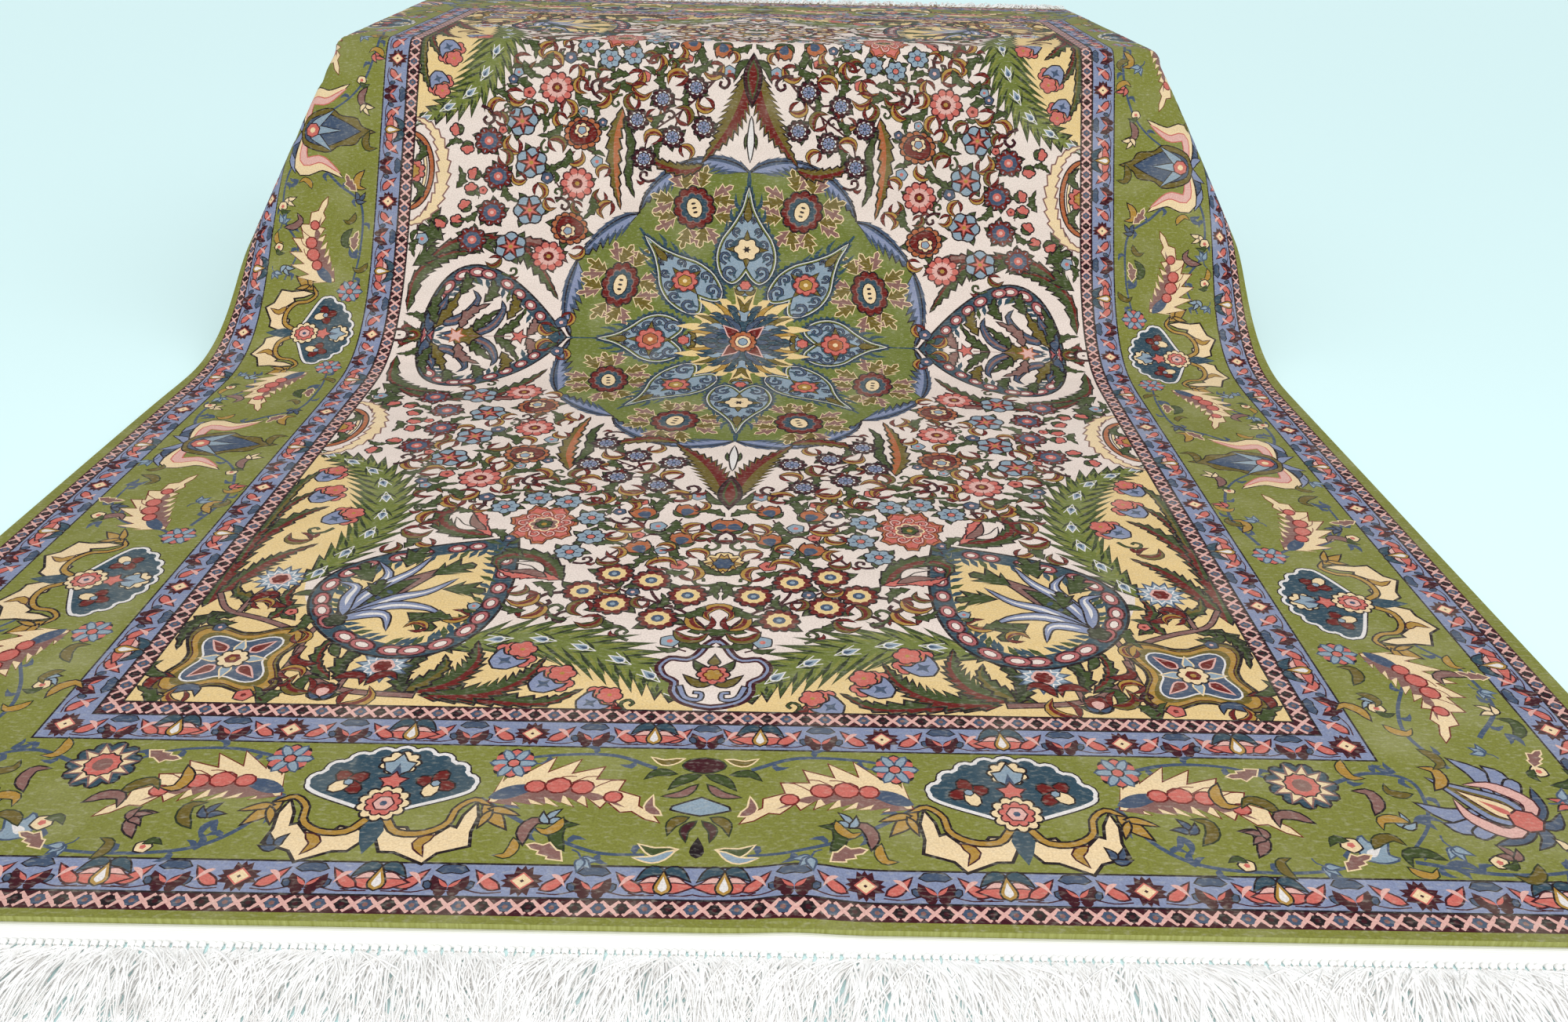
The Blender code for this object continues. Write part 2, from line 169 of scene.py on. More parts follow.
def corner_fan(side):
    """Directions of the folds that fan out from a table corner, spaced evenly by angle."""
    down_slope = np.array([0, -math.cos(SLOPE_ANGLE), -math.sin(SLOPE_ANGLE)])
    outward = np.array([side, 0, 0])
    first = outward * math.sin(CORNER_START) + down_slope * math.cos(CORNER_START)
    first_heading = outward * math.cos(CORNER_START) - down_slope * math.sin(CORNER_START)
    last = np.array([0.0, 0.0, -1.0])
    last_heading = np.array(CORNER_END_HEADING) * np.array([side, 1, 1])
    t = np.linspace(0, 1, 400)[:, None]
    wanted = (math.pi / 2 - CORNER_START) * CORNER_TAKE_UP

    def curve(pull):
        rays = ((2 * t**3 - 3 * t**2 + 1) * first + (t**3 - 2 * t**2 + t) * pull * first_heading
                + (3 * t**2 - 2 * t**3) * last + (t**3 - t**2) * pull * last_heading)
        rays /= np.linalg.norm(rays, axis=1)[:, None]
        steps = np.linalg.norm(np.diff(rays, axis=0), axis=1)
        return rays, np.concatenate([[0], np.cumsum(steps)])

    low, high = 0.1, 8.0
    for _ in range(40):
        pull = (low + high) / 2
        rays, reach = curve(pull)
        if reach[-1] < wanted:
            low = pull
        else:
            high = pull
    even = np.linspace(0, reach[-1], CORNER_STEPS)
    fan = np.stack([np.interp(even, reach, rays[:, axis]) for axis in range(3)], axis=1)
    return even / CORNER_TAKE_UP, fan / np.linalg.norm(fan, axis=1)[:, None]


class Drape:
    """Underside of the carpet in space, for points so far across it and so far along it."""

    def __init__(self):
        self.along, self.run, self.rise, self.edge_along = front_profile()
        self.edge = LIFT_OFF + self.edge_along
        self.edge_y = LIFT_OFF + float(np.interp(self.edge_along, self.along, self.run))
        self.half = TABLE_WIDTH / 2 + EDGE_GAP
        self.side_profile = bend_profile(
            [{"start": 0, "length": SIDE_FOLD, "turn": -math.pi / 2}], 0.5)
        self.fans = {side: corner_fan(side) for side in (-1, 1)}
        self.table_low = np.array([TABLE_CENTRE_X - TABLE_WIDTH / 2, self.edge_y + EDGE_GAP,
                                   TABLE_HEIGHT - TOP_THICKNESS])
        self.table_high = np.array([TABLE_CENTRE_X + TABLE_WIDTH / 2,
                                    self.edge_y + EDGE_GAP + TABLE_DEPTH, TABLE_HEIGHT])
        self.across_axis = np.arange(-HALF_WIDTH - GRID_MARGIN, HALF_WIDTH + GRID_MARGIN, CELL)
        self.along_axis = np.arange(-GRID_MARGIN, PILE_LENGTH + GRID_MARGIN, CELL)
        self.grid = self.worked_grid()
        normal = np.cross(np.gradient(self.grid, axis=0), np.gradient(self.grid, axis=1))
        self.normals = normal / np.linalg.norm(normal, axis=-1)[..., None]

    def path(self, b):
        beyond = np.maximum(b - LIFT_OFF, 0)
        run = np.interp(beyond, self.along, self.run)
        rise = np.interp(beyond, self.along, self.rise)
        return np.where(b < LIFT_OFF, b, LIFT_OFF + run), rise

    def folded_grid(self):
        across, along = np.meshgrid(self.across_axis, self.along_axis, indexing="ij")
        flat = along + FRONT_EDGE_Y
        a = across * math.cos(SKEW) + flat * math.sin(SKEW)
        b = flat * math.cos(SKEW) - across * math.sin(SKEW)
        belly = BELLY_SHIFT * np.exp(-((b - BELLY_PLACE) / BELLY_LENGTH) ** 2)
        b_lift = b + belly * np.exp(-(a / BELLY_HALF_WIDTH) ** 2)
        y, z = self.path(b_lift)
        points = np.stack([a, y - (b_lift - b), z], axis=-1)
        for side in (-1, 1):
            beyond = side * (a - TABLE_CENTRE_X) - self.half
            self.hang_side(points, b, beyond, side)
            self.fan_corner(points, b, beyond, side)
        return points

    def hang_side(self, points, b, beyond, side):
        arc = beyond + SIDE_FOLD / 2
        hangs = (arc > 0) & (b >= self.edge)
        along, run, rise = self.side_profile
        out = np.interp(arc, along, run) - SIDE_FOLD / 2
        drop = np.interp(arc, along, rise)
        depth = np.clip(beyond / RIPPLE_FULL_DROP, 0, RIPPLE_LIMIT)
        wave = np.sin(2 * math.pi * b / RIPPLE_LENGTH + RIPPLE_PHASE[side])
        ripple = RIPPLE_HEIGHT * depth**2 * (1 + wave) / 2
        points[..., 0] = np.where(
            hangs, TABLE_CENTRE_X + side * (self.half + out + ripple), points[..., 0])
        points[..., 2] += np.where(hangs, drop, 0)

    def fan_corner(self, points, b, beyond, side):
        below = self.edge - b
        turn = np.arctan2(beyond, below)
        wedge = (below > 0) & (beyond > 0) & (turn > CORNER_START)
        reach = np.hypot(beyond, below)
        even, fan = self.fans[side]
        for axis in range(3):
            plane = (side * np.sin(turn), -math.cos(SLOPE_ANGLE) * np.cos(turn),
                     -math.sin(SLOPE_ANGLE) * np.cos(turn))[axis]
            swung = np.interp(turn - CORNER_START, even, fan[:, axis])
            points[..., axis] += np.where(wedge, reach * (swung - plane), 0)

    def keep_off_table(self, points):
        low = self.table_low - [0, 0, BLOCK_DROP]
        high = self.table_high - [0, 0, EDGE_GAP - REST_GAP]
        centre, half = (low + high) / 2, (high - low) / 2 - FOLD_ROUNDING
        offset = points - centre
        outside = np.maximum(np.abs(offset) - half, 0)
        distance = np.linalg.norm(outside, axis=-1)
        wanted = FOLD_ROUNDING + EDGE_GAP
        pushed = (distance > 1e-9) & (distance < wanted)
        scale = np.where(pushed, wanted / np.maximum(distance, 1e-9), 1)[..., None]
        fixed = centre + np.sign(offset) * (np.minimum(np.abs(offset), half) + outside * scale)
        return np.where(pushed[..., None], fixed, points)

    def pucker(self, points):
        across, along = np.meshgrid(self.across_axis, self.along_axis, indexing="ij")
        swell = ease((along + KILIM_WIDTH) / PUCKER_RISE)
        swell *= 1 - ease((along - PUCKER_START) / PUCKER_REACH)
        middle = PUCKER_PLACE + PUCKER_SLANT * along
        hump = np.exp(-((across - middle) / PUCKER_HALF_WIDTH) ** 2)
        height = PUCKER_HEIGHT * swell * hump
        points[..., 2] += np.where(height > FLAT_LIMIT, height, 0)

    def worked_grid(self):
        points = self.folded_grid()
        for _ in range(SMOOTH_PASSES):
            mean = points.copy()
            mean[1:-1, 1:-1] = (points[2:, 1:-1] + points[:-2, 1:-1]
                                + points[1:-1, 2:] + points[1:-1, :-2]) / 4
            points += (mean - points) * SMOOTH_SHARE
            points = self.keep_off_table(points)
            points[..., 2] = np.maximum(points[..., 2], 0)
        resting = points[..., 2] < FLAT_LIMIT
        points[..., 2] = np.where(resting, 0, points[..., 2])
        top = TABLE_HEIGHT + REST_GAP
        on_top = np.abs(points[..., 2] - top) < FLAT_LIMIT
        points[..., 2] = np.where(on_top, top, points[..., 2])
        self.pucker(points)
        return points

    def read(self, field, across, along):
        """A grid's values between its points, for arrays of places."""
        i = (np.asarray(across, float) - self.across_axis[0]) / CELL
        j = (np.asarray(along, float) - self.along_axis[0]) / CELL
        i0 = np.clip(i.astype(int), 0, len(self.across_axis) - 2)
        j0 = np.clip(j.astype(int), 0, len(self.along_axis) - 2)
        u, w = (i - i0)[..., None], (j - j0)[..., None]
        return ((field[i0, j0] * (1 - u) + field[i0 + 1, j0] * u) * (1 - w)
                + (field[i0, j0 + 1] * (1 - u) + field[i0 + 1, j0 + 1] * u) * w)

    def normal(self, across, along):
        made = self.read(self.normals, across, along)
        return made / np.linalg.norm(made, axis=-1)[..., None]

    def points(self, across, along, height=0.0):
        """Points of the carpet at a height over its underside."""
        height = np.asarray(height, float)
        return (self.read(self.grid, across, along)
                + self.normal(across, along) * height[..., None])


# Flat shapes, each an array of points round its outline

def curve(points, count=16):
    """Smooth line through a few points."""
    p = np.asarray(points, float)
    if len(p) == 2:
        t = np.linspace(0, 1, count)[:, None]
        return p[0] * (1 - t) + p[1] * t
    p = np.vstack([2 * p[0] - p[1], p, 2 * p[-1] - p[-2]])
    spans = len(p) - 3
    t = np.linspace(0, spans, count)
    k = np.minimum(t.astype(int), spans - 1)
    u = (t - k)[:, None]
    a, b, c, d = p[k], p[k + 1], p[k + 2], p[k + 3]
    return 0.5 * (2 * b + (c - a) * u + (2 * a - 5 * b + 4 * c - d) * u**2
                  + (3 * b - a - 3 * c + d) * u**3)


def sides_of(line):
    """Unit vectors square to a line, to its left."""
    way = np.gradient(line, axis=0)
    way /= np.maximum(np.linalg.norm(way, axis=1), 1e-12)[:, None]
    return np.stack([-way[:, 1], way[:, 0]], axis=1)


def ribbon(line, start, end=None):
    """Band along a line, from one width to another."""
    end = start if end is None else end
    half = np.linspace(start, end, len(line))[:, None] / 2
    side = sides_of(line) * half
    return np.vstack([line - side, (line + side)[::-1]])


def leaf_shape(line, width, fullness=0.75):
    """Plain leaf that is pointed at both ends of a line."""
    t = np.linspace(0, 1, len(line))[:, None]
    half = width / 2 * np.sin(math.pi * t**fullness)
    side = sides_of(line) * half
    return np.vstack([line - side, (line + side)[::-1][1:-1]])


def frond_shape(line, width, teeth, depth=0.45, lean=0.55, fullness=0.75, sides=(1, 1)):
    """Serrated leaf along a line, its teeth swept towards the tip."""
    steps = 2 * teeth + 1
    t = np.linspace(0, 1, steps)
    at = np.linspace(0, 1, len(line))
    line = np.stack([np.interp(t, at, line[:, axis]) for axis in (0, 1)], axis=1)
    side = sides_of(line)
    way = np.stack([side[:, 1], -side[:, 0]], axis=1)
    half = width / 2 * np.sin(math.pi * (0.04 + 0.96 * t) ** fullness)
    out = np.where(np.arange(steps) % 2 == 1, 1.0, 1 - depth)
    sweep = np.where(np.arange(steps) % 2 == 1, lean, 0.0) * half
    right = line - side * (half * out * sides[0])[:, None] + way * sweep[:, None]
    left = line + side * (half * out * sides[1])[:, None] + way * sweep[:, None]
    return np.vstack([right, left[::-1][1:-1]])


def oval(x, y, rx, ry=None, turn=0.0, count=12):
    ry = rx if ry is None else ry
    a = np.linspace(0, 2 * math.pi, count, endpoint=False)
    p = np.stack([rx * np.cos(a), ry * np.sin(a)], axis=1)
    return turned(p, turn) + [x, y]


def scallops(count, radius, cut, phase=0.0, steps=4, pointed=False):
    """Ring of petals. The petals are round, or pointed."""
    a = np.linspace(0, 2 * math.pi, count * steps, endpoint=False)
    wave = np.abs(np.cos(count * a / 2))
    if pointed:
        wave = 1 - np.abs(((count * a / (2 * math.pi)) % 1) * 2 - 1)
        wave = 1 - wave
    r = radius * (1 - cut + cut * wave**0.8)
    a = a + phase
    return np.stack([r * np.cos(a), r * np.sin(a)], axis=1)


def spikes(count, outer, inner, phase=0.0):
    a = phase + np.arange(2 * count) * math.pi / count
    r = np.where(np.arange(2 * count) % 2 == 0, outer, inner)
    return np.stack([r * np.cos(a), r * np.sin(a)], axis=1)


def drop(length, width, count=14, round_end=0.32):
    """Teardrop from a round foot at the origin to a tip on +Y."""
    t = np.linspace(0, 1, count)
    half = width / 2 * np.sqrt(np.clip(t / round_end, 0, 1) * (2 - np.clip(t / round_end, 0, 1)))
    fall = np.clip((t - round_end) / (1 - round_end), 0, 1)
    half = half * (1 - ease(fall) * 0.35 - 0.65 * fall)
    y = t * length
    return np.vstack([np.stack([half, y], axis=1), np.stack([-half, y], axis=1)[::-1][1:-1]])


def pear(length, width, bend, count=44):
    """Boteh outline by formula, closed and from its tip on +Y, which is bent sideways."""
    t = np.linspace(0, 2 * math.pi, count)
    y = length / 2 * np.cos(t)
    x = width * 0.65 * np.sin(t) * np.sin(t / 2) + bend * (y / length + 0.5) ** 3
    return np.stack([x, y], axis=1)


def turned(points, turn):
    c, s = math.cos(turn), math.sin(turn)
    return np.asarray(points, float) @ np.array([[c, s], [-s, c]])


def grown(points, by):
    """A shape's outline moved outwards."""
    p = np.asarray(points, float)
    ahead, behind = np.roll(p, -1, axis=0) - p, p - np.roll(p, 1, axis=0)
    n1 = np.stack([ahead[:, 1], -ahead[:, 0]], axis=1)
    n0 = np.stack([behind[:, 1], -behind[:, 0]], axis=1)
    n1 /= np.maximum(np.linalg.norm(n1, axis=1), 1e-12)[:, None]
    n0 /= np.maximum(np.linalg.norm(n0, axis=1), 1e-12)[:, None]
    n = n0 + n1
    length = np.maximum(np.linalg.norm(n, axis=1), 0.8)[:, None]
    way = 1.0 if area_of(p) > 0 else -1.0
    return p + n / length**2 * 2 * by * way


def area_of(p):
    x, y = p[:, 0], p[:, 1]
    return 0.5 * float(np.sum(x * np.roll(y, -1) - np.roll(x, -1) * y))


RIM_SHARE = 2.4


def petal_marks(k, count, inner, outer, dye="ink", width=0.0024, phase=0.0):
    """Thin wedges between the petals of a flower that scallops made."""
    reach = np.array([(inner, 0.0), ((inner + outer) / 2, 0.0), (outer, 0.0)])
    for index in range(count):
        k.lay(turned(leaf_shape(reach, width), phase + (index + 0.5) * 2 * math.pi / count), dye)


class Sketch:
    """Closed shapes in painter's order, each with its dye, drawn through a movable frame."""

    def __init__(self):
        self.shapes = []
        self.taken = []
        self.frames = [(0.0, 0.0, 0.0, 1.0, 1.0)]

    def at(self, x, y, turn=0.0, scale=1.0, flip=1.0):
        self.frames.append((x, y, turn, scale, flip))
        return self

    def __enter__(self):
        return self

    def __exit__(self, *stop):
        self.frames.pop()

    def placed(self, points):
        p = np.asarray(points, float)
        for x, y, turn, scale, flip in reversed(self.frames):
            p = turned(p * [flip * scale, scale], turn) + [x, y]
        return p

    def lay(self, points, dye, rim=None, rim_width=0.0015):
        p = self.placed(points)
        if rim:
            self.shapes.append((grown(p, rim_width * RIM_SHARE), rim))
        self.shapes.append((p, dye))

    def leaf(self, points, count, width, dye, rim=None, rim_width=0.0015, fullness=0.75):
        self.lay(leaf_shape(curve(points, count), width, fullness), dye, rim, rim_width)

    def strap(self, points, count, width, dye, rim=None, rim_width=0.0015, end=None):
        self.lay(ribbon(curve(points, count), width, end), dye, rim, rim_width)

    def petals(self, count, radius, cut, steps, dye, rim=None, rim_width=0.0015, phase=0.0):
        self.lay(scallops(count, radius, cut, phase, steps), dye, rim, rim_width)

    def twin(self, points, count, dye, rim=None, rim_width=0.0015):
        """Shape from the smooth outline of its right-hand half."""
        self.lay(mirrored(curve(points, count)), dye, rim, rim_width)

    def take(self, x, y, radius):
        """Keep small filling leaves out of a circle."""
        place = self.placed([[x, y]])[0]
        self.taken.append((place[0], place[1], radius * self.frames[-1][3]))


# Small motifs, each round the origin with +Y as its top

def rosette(k, radius, rim, petals, heart, count=8, rim_dye="ink", centre=None):
    k.petals(count, radius, 0.22, 4, rim, rim_dye, 0.0012)
    k.petals(count, radius * 0.68, 0.25, 3, petals, phase=math.pi / count)
    k.lay(oval(0, 0, radius * 0.34, count=8), heart)
    if centre:
        k.lay(oval(0, 0, radius * 0.15, count=6), centre)
    k.take(0, 0, radius * 1.1)


def guard_star(k):
    k.lay(spikes(8, 0.0185, 0.0115, phase=math.pi / 8), "maroon")
    k.lay(spikes(4, 0.0185, 0.009), "maroon")
    k.lay(spikes(4, 0.0105, 0.0075), "coral")
    k.lay(spikes(4, 0.0085, 0.006), "cream")
    k.lay(oval(0, 0, 0.002, count=4), "maroon")


def guard_bud(k):
    k.leaf([(-0.013, -0.009), (-0.003, -0.003), (0.008, 0.01)], 8, 0.0095, "coral", "maroon",
        0.0009)
    k.leaf([(-0.007, 0.008), (0.0, 0.004), (0.006, -0.006)], 7, 0.0045, "pink")
    k.strap([(-0.016, -0.013), (0.0, -0.0145), (0.016, -0.01)], 7, 0.0014, "maroon")
    k.lay(oval(0.011, -0.006, 0.0028, 0.0045, 0.4, 6), "slate", "ink", 0.0006)


def guard_butterfly(k):
    for side in (-1, 1):
        k.leaf([(0, -0.011), (side * 0.009, -0.005), (side * 0.014, 0.005)], 8, 0.013, "maroon")
        k.leaf([(0, -0.012), (side * 0.006, -0.015), (side * 0.01, -0.012)], 5, 0.006, "maroon")
        k.leaf([(0, -0.008), (side * 0.005, -0.004), (side * 0.009, 0.001)], 6, 0.0035, "coral")
    k.lay(mirrored([(0, 0.016), (0.008, 0.015), (0.012, 0.01), (0.007, 0.007), (0, 0.008)]),
        "slate", "ink", 0.0006)


def guard_lotus(k):
    for side in (-1, 1):
        k.leaf([(0, 0.013), (side * 0.011, 0.014), (side * 0.022, 0.003)], 8, 0.01, "teal", "ink",
            0.0008)
        k.leaf([(0, -0.009), (side * 0.013, -0.004), (side * 0.025, -0.004)], 8, 0.0115, "coral",
            "maroon", 0.0009)
        k.leaf([(0, 0.003), (side * 0.01, 0.004), (side * 0.019, 0.0)], 7, 0.006, "pink", "maroon",
            0.0006)
        k.strap([(side * 0.006, -0.014), (side * 0.018, -0.0145), (side * 0.028, -0.012)], 7,
            0.0014, "maroon")
    k.lay(drop(0.027, 0.0135, 10) + [0, -0.013], "gold", "ink", 0.0008)
    k.lay(drop(0.018, 0.008, 8) + [0, -0.01], "white")


GUARD_MOTIFS = {"star": guard_star, "bud": guard_bud, "butterfly": guard_butterfly,
                "lotus": guard_lotus}


GUARD_SCALE = {"star": 1.1, "bud": 1.15, "butterfly": 1.22, "lotus": 1.12}


def guard_row(k, marks, spot, turn):
    """Row of guard flowers. Marks are (kind, place); spot gives where a place along the row is."""
    def put(kind, place, flip=1.0):
        x, y = spot(place)
        with k.at(x, y, turn, GUARD_SCALE[kind], flip):
            GUARD_MOTIFS[kind](k)
    for (kind, place), (_, beyond) in zip(marks, marks[1:]):
        span = beyond - place
        put(kind, place)
        put("bud", place + span * 0.26)
        put("butterfly", place + span * 0.5)
        put("bud", place + span * 0.74, -1.0)
    put(*marks[-1])


def lattice_row(k, start, end, spot, width):
    """Chain of crossed bars with a floret in each gap."""
    count = max(1, round((end - start) / 0.0215))
    pitch = (end - start) / count
    tall = width / 2 - 0.0028
    for index in range(count):
        x, y = spot(start + (index + 0.5) * pitch)
        with k.at(x, y, spot.turn):
            for way in (-1, 1):
                k.lay(ribbon(np.array([(-pitch * 0.4, -tall * way), (pitch * 0.4, tall * way)]),
                    0.004), "pink")
        x, y = spot(start + index * pitch)
        with k.at(x, y, spot.turn):
            k.petals(6, 0.007, 0.3, 3, "ink" if index % 2 else "slate")
            k.lay(oval(0, 0, 0.003, count=5), "maroon" if index % 2 else "mauve")


class Row:
    """Places along an end row or a side row of the border, at a depth from the edge."""

    def __init__(self, side, depth):
        self.side, self.depth = side, depth
        self.turn = math.pi / 2 if side else 0.0

    def __call__(self, place, offset=0.0):
        if self.side:
            return HALF_WIDTH - self.depth - offset, place
        return place, self.depth + offset


# Motifs of the main border

def mirrored(points):
    """A right-hand half outline, closed by its mirror image."""
    p = np.asarray(points, float)
    other = p[::-1] * [-1, 1]
    if abs(p[0][0]) < 1e-9:
        other = other[:-1]
    if abs(p[-1][0]) < 1e-9:
        other = other[1:]
    return np.vstack([p, other])


def shield(k):
    """Shield palmette over an arabesque bracket."""
    over, under = np.linspace(0, math.pi / 2, 18), np.linspace(0.08, 1, 14)
    arch = np.stack([0.088 * np.sin(over), 0.062 * np.cos(over) ** 1.3], axis=1)
    foot = np.stack([0.088 * (1 - ease(under)), -0.054 * under], axis=1)
    shell = mirrored(np.vstack([arch, foot]))
    for side in (-1, 1):
        arm = curve([(0, -0.066), (side * 0.045, -0.086), (side * 0.085, -0.074),
                     (side * 0.094, -0.026)], 18)
        k.lay(frond_shape(arm, 0.046, 4, 0.45, 0.45, 0.7), "cream", "ink")
    for side in (-1, 1):
        k.strap([(side * 0.01, -0.05), (side * 0.024, -0.068), (side * 0.05, -0.069),
            (side * 0.071, -0.055), (side * 0.076, -0.032), (side * 0.092, -0.018),
            (side * 0.108, -0.028)], 18, 0.007, "gold", "ink", 0.001, end=0.004)
        with k.at(side * 0.116, -0.044, side * 0.5, flip=side):
            lily(k)
        k.leaf([(side * 0.062, -0.072), (side * 0.05, -0.084), (side * 0.058, -0.1)], 7, 0.01,
            "gold", "maroon", 0.0008)
    rim = [(0.078 * math.sin(u), 0.053 * math.cos(u) ** 1.3, 0.0140)
           for u in (0.0, 0.28, 0.58, 0.92, 1.32)]
    for grow, dye in ((0.0018, "ink"), (0.0, "white"), (-0.0044, "teal")):
        k.lay(grown(shell, grow), dye)
        for x, y, radius in rim:
            for side in (-1, 1):
                k.lay(oval(side * x, y, radius + grow, count=12), dye)
    k.lay(mirrored([(0, -0.1), (0.008, -0.082), (0.012, -0.066), (0.006, -0.05), (0, -0.04)]),
        "teal")
    for side in (-1, 1):
        with k.at(side * 0.045, 0.006, side * 0.3):
            for turn in range(4):
                k.lay(turned(oval(0.0105, 0, 0.011, 0.0078, count=8), turn * math.pi / 2 + 0.6),
                    "red" if turn < 3 else "cream", "ink", 0.0008)
            k.lay(oval(0, 0, 0.0045, count=6), "pale_blue", "ink", 0.0006)
    k.lay(scallops(9, 0.021, 0.26, phase=0.35, steps=4) * [1, 0.9] + [0, 0.038], "cream", "ink",
        0.001)
    k.lay(mirrored([(0, 0.052), (0.007, 0.04), (0.016, 0.038), (0.012, 0.026), (0, 0.018)]),
        "pale_blue", "ink", 0.0008)
    k.lay(drop(0.024, 0.01, 8) + [0, 0.014], "slate")
    k.lay(spikes(5, 0.014, 0.008, phase=math.pi / 2) + [0, 0.008], "coral", "maroon", 0.0008)
    k.lay(scallops(11, 0.026, 0.2, phase=0.28, steps=4) + [0, -0.026], "cream", "ink", 0.001)
    k.lay(scallops(9, 0.018, 0.22, phase=0.17, steps=4) + [0, -0.026], "coral", "maroon", 0.0008)
    k.lay(scallops(6, 0.01, 0.22, steps=3) + [0, -0.026], "pink", "maroon", 0.0007)
    k.lay(oval(0, -0.026, 0.004, count=6), "slate")
    k.take(0, 0, 0.085)
    k.take(0, -0.07, 0.05)
    for side in (-1, 1):
        k.take(side * 0.07, -0.06, 0.05)
        k.take(side * 0.115, -0.045, 0.025)


def lily(k):
    """Gold lily that ends a scroll."""
    k.leaf([(-0.004, 0.022), (0.0, 0.0), (0.004, -0.02)], 8, 0.015, "gold", "ink", 0.001)
    k.leaf([(0.0, 0.014), (0.01, 0.006), (0.022, -0.008)], 8, 0.008, "gold", "ink", 0.001)
    k.leaf([(0.0, 0.01), (-0.01, 0.002), (-0.018, -0.006)], 8, 0.007, "gold", "ink", 0.001)


def feather(k, length=0.175, width=0.088):
    """Cream serrated plume with berries, its foot at the origin and its tip on +X."""
    line = curve([(0, 0), (0.05, 0.016), (0.11, 0.008), (length, -0.042)], 30)
    k.lay(frond_shape(line, width, 8, 0.52, 0.5, 0.62, (0.8, 1.0)), "cream", "red", 0.0007)
    k.lay(frond_shape(line[1:-5] - [0, 0.006], width * 0.55, 7, 0.5, 0.4, 0.66, (1.0, 0.1)),
        "mauve")
    k.lay(leaf_shape(line[:12] - [0, 0.001], 0.019), "slate")
    for share, size in ((0.34, 0.0095), (0.47, 0.0125), (0.62, 0.0110), (0.76, 0.0085)):
        x, y = line[int(share * 29)]
        k.lay(oval(x, y, size, size * 0.88, count=10), "coral", "red", 0.0009)
    for share in (0.40, 0.54, 0.68):
        x, y = line[int(share * 29)]
        k.strap([(x, y + 0.004), (x + 0.016, y + 0.014), (x + 0.03, y + 0.014)], 5, 0.0014, "red")
    for share in (0.1, 0.35, 0.6, 0.85, 1.0):
        x, y = line[int(share * 29)]
        k.take(x, y, width * (0.5 if share < 0.9 else 0.2))


def ring_rosette(k, radius=0.0245):
    """Small rosette of pink scallops and pale-blue petals."""
    k.petals(8, radius, 0.2, 4, "ink")
    for index in range(6):
        turn = index * math.pi / 3
        k.lay(turned(oval(radius * 0.62, 0, radius * 0.3, radius * 0.25, count=7), turn + 0.52),
            "coral")
        k.lay(turned(oval(radius * 0.52, 0, radius * 0.44, radius * 0.17, count=8), turn),
            "pale_blue", "slate", 0.0008)
    k.lay(oval(0, 0, radius * 0.24, count=7), "coral", "ink", 0.0007)
    k.take(0, 0, radius)


def sunflower(k, radius=0.035):
    k.petals(11, radius * 1.05, 0.2, 4, "teal", "ink", 0.001)
    k.lay(spikes(11, radius * 0.92, radius * 0.52, phase=0.1), "cream", "mauve", 0.001)
    k.petals(11, radius * 0.52, 0.22, 3, "coral", "ink", 0.0008)
    k.lay(oval(0, 0, radius * 0.3, count=9), "mauve")
    k.take(0, 0, radius)


def lotus_palmette(k, reach=0.100, half=0.075):
    """Big lotus with S-shaped wings, its foot at the origin and its tip on +Y."""
    for side in (-1, 1):
        for share, dye in ((1.0, "lavender"), (0.62, "slate"), (0.30, "lavender")):
            k.leaf([(0, -0.005), (side * half * share * 0.6, -0.028 + 0.004 / share),
                (side * half * share, -0.018 / share * 0.6)], 8, 0.014, dye, "ink", 0.0009)
    for side in (-1, 1):
        k.leaf([(0, 0), (side * half * 0.85, 0.002), (side * half * 0.8, 0.045),
            (side * half * 1.08, 0.085)], 14, 0.03, "cream", "ink", 0.001)
        k.leaf([(0, 0.004), (side * half * 0.7, 0.006), (side * half * 0.68, 0.042),
            (side * half * 0.98, 0.08)], 14, 0.015, "pink", "coral", 0.0009)
    k.twin([(0, reach), (0.01, reach * 0.82), (0.026, reach * 0.74), (0.03, reach * 0.52),
        (0.044, reach * 0.36), (0.03, 0.004), (0, -0.008)], 20, "olive", "ink", 0.001)
    k.twin([(0, reach * 0.8), (0.012, reach * 0.66), (0.022, reach * 0.52), (0.032, reach * 0.32),
        (0.02, 0.008), (0, 0.0)], 18, "slate", "ink", 0.0008)
    for turn in (-0.7, 0.0, 0.7):
        k.lay(turned(drop(reach * 0.46, 0.017, 8), turn) + [0, 0.01], "pale_blue", "ink", 0.0008)
    k.lay(scallops(7, 0.014, 0.22, steps=3) + [0, 0.018], "coral", "maroon", 0.0009)
    k.lay(oval(0, 0.018, 0.006, count=7), "cream")
    k.take(0, reach * 0.4, reach * 0.6)


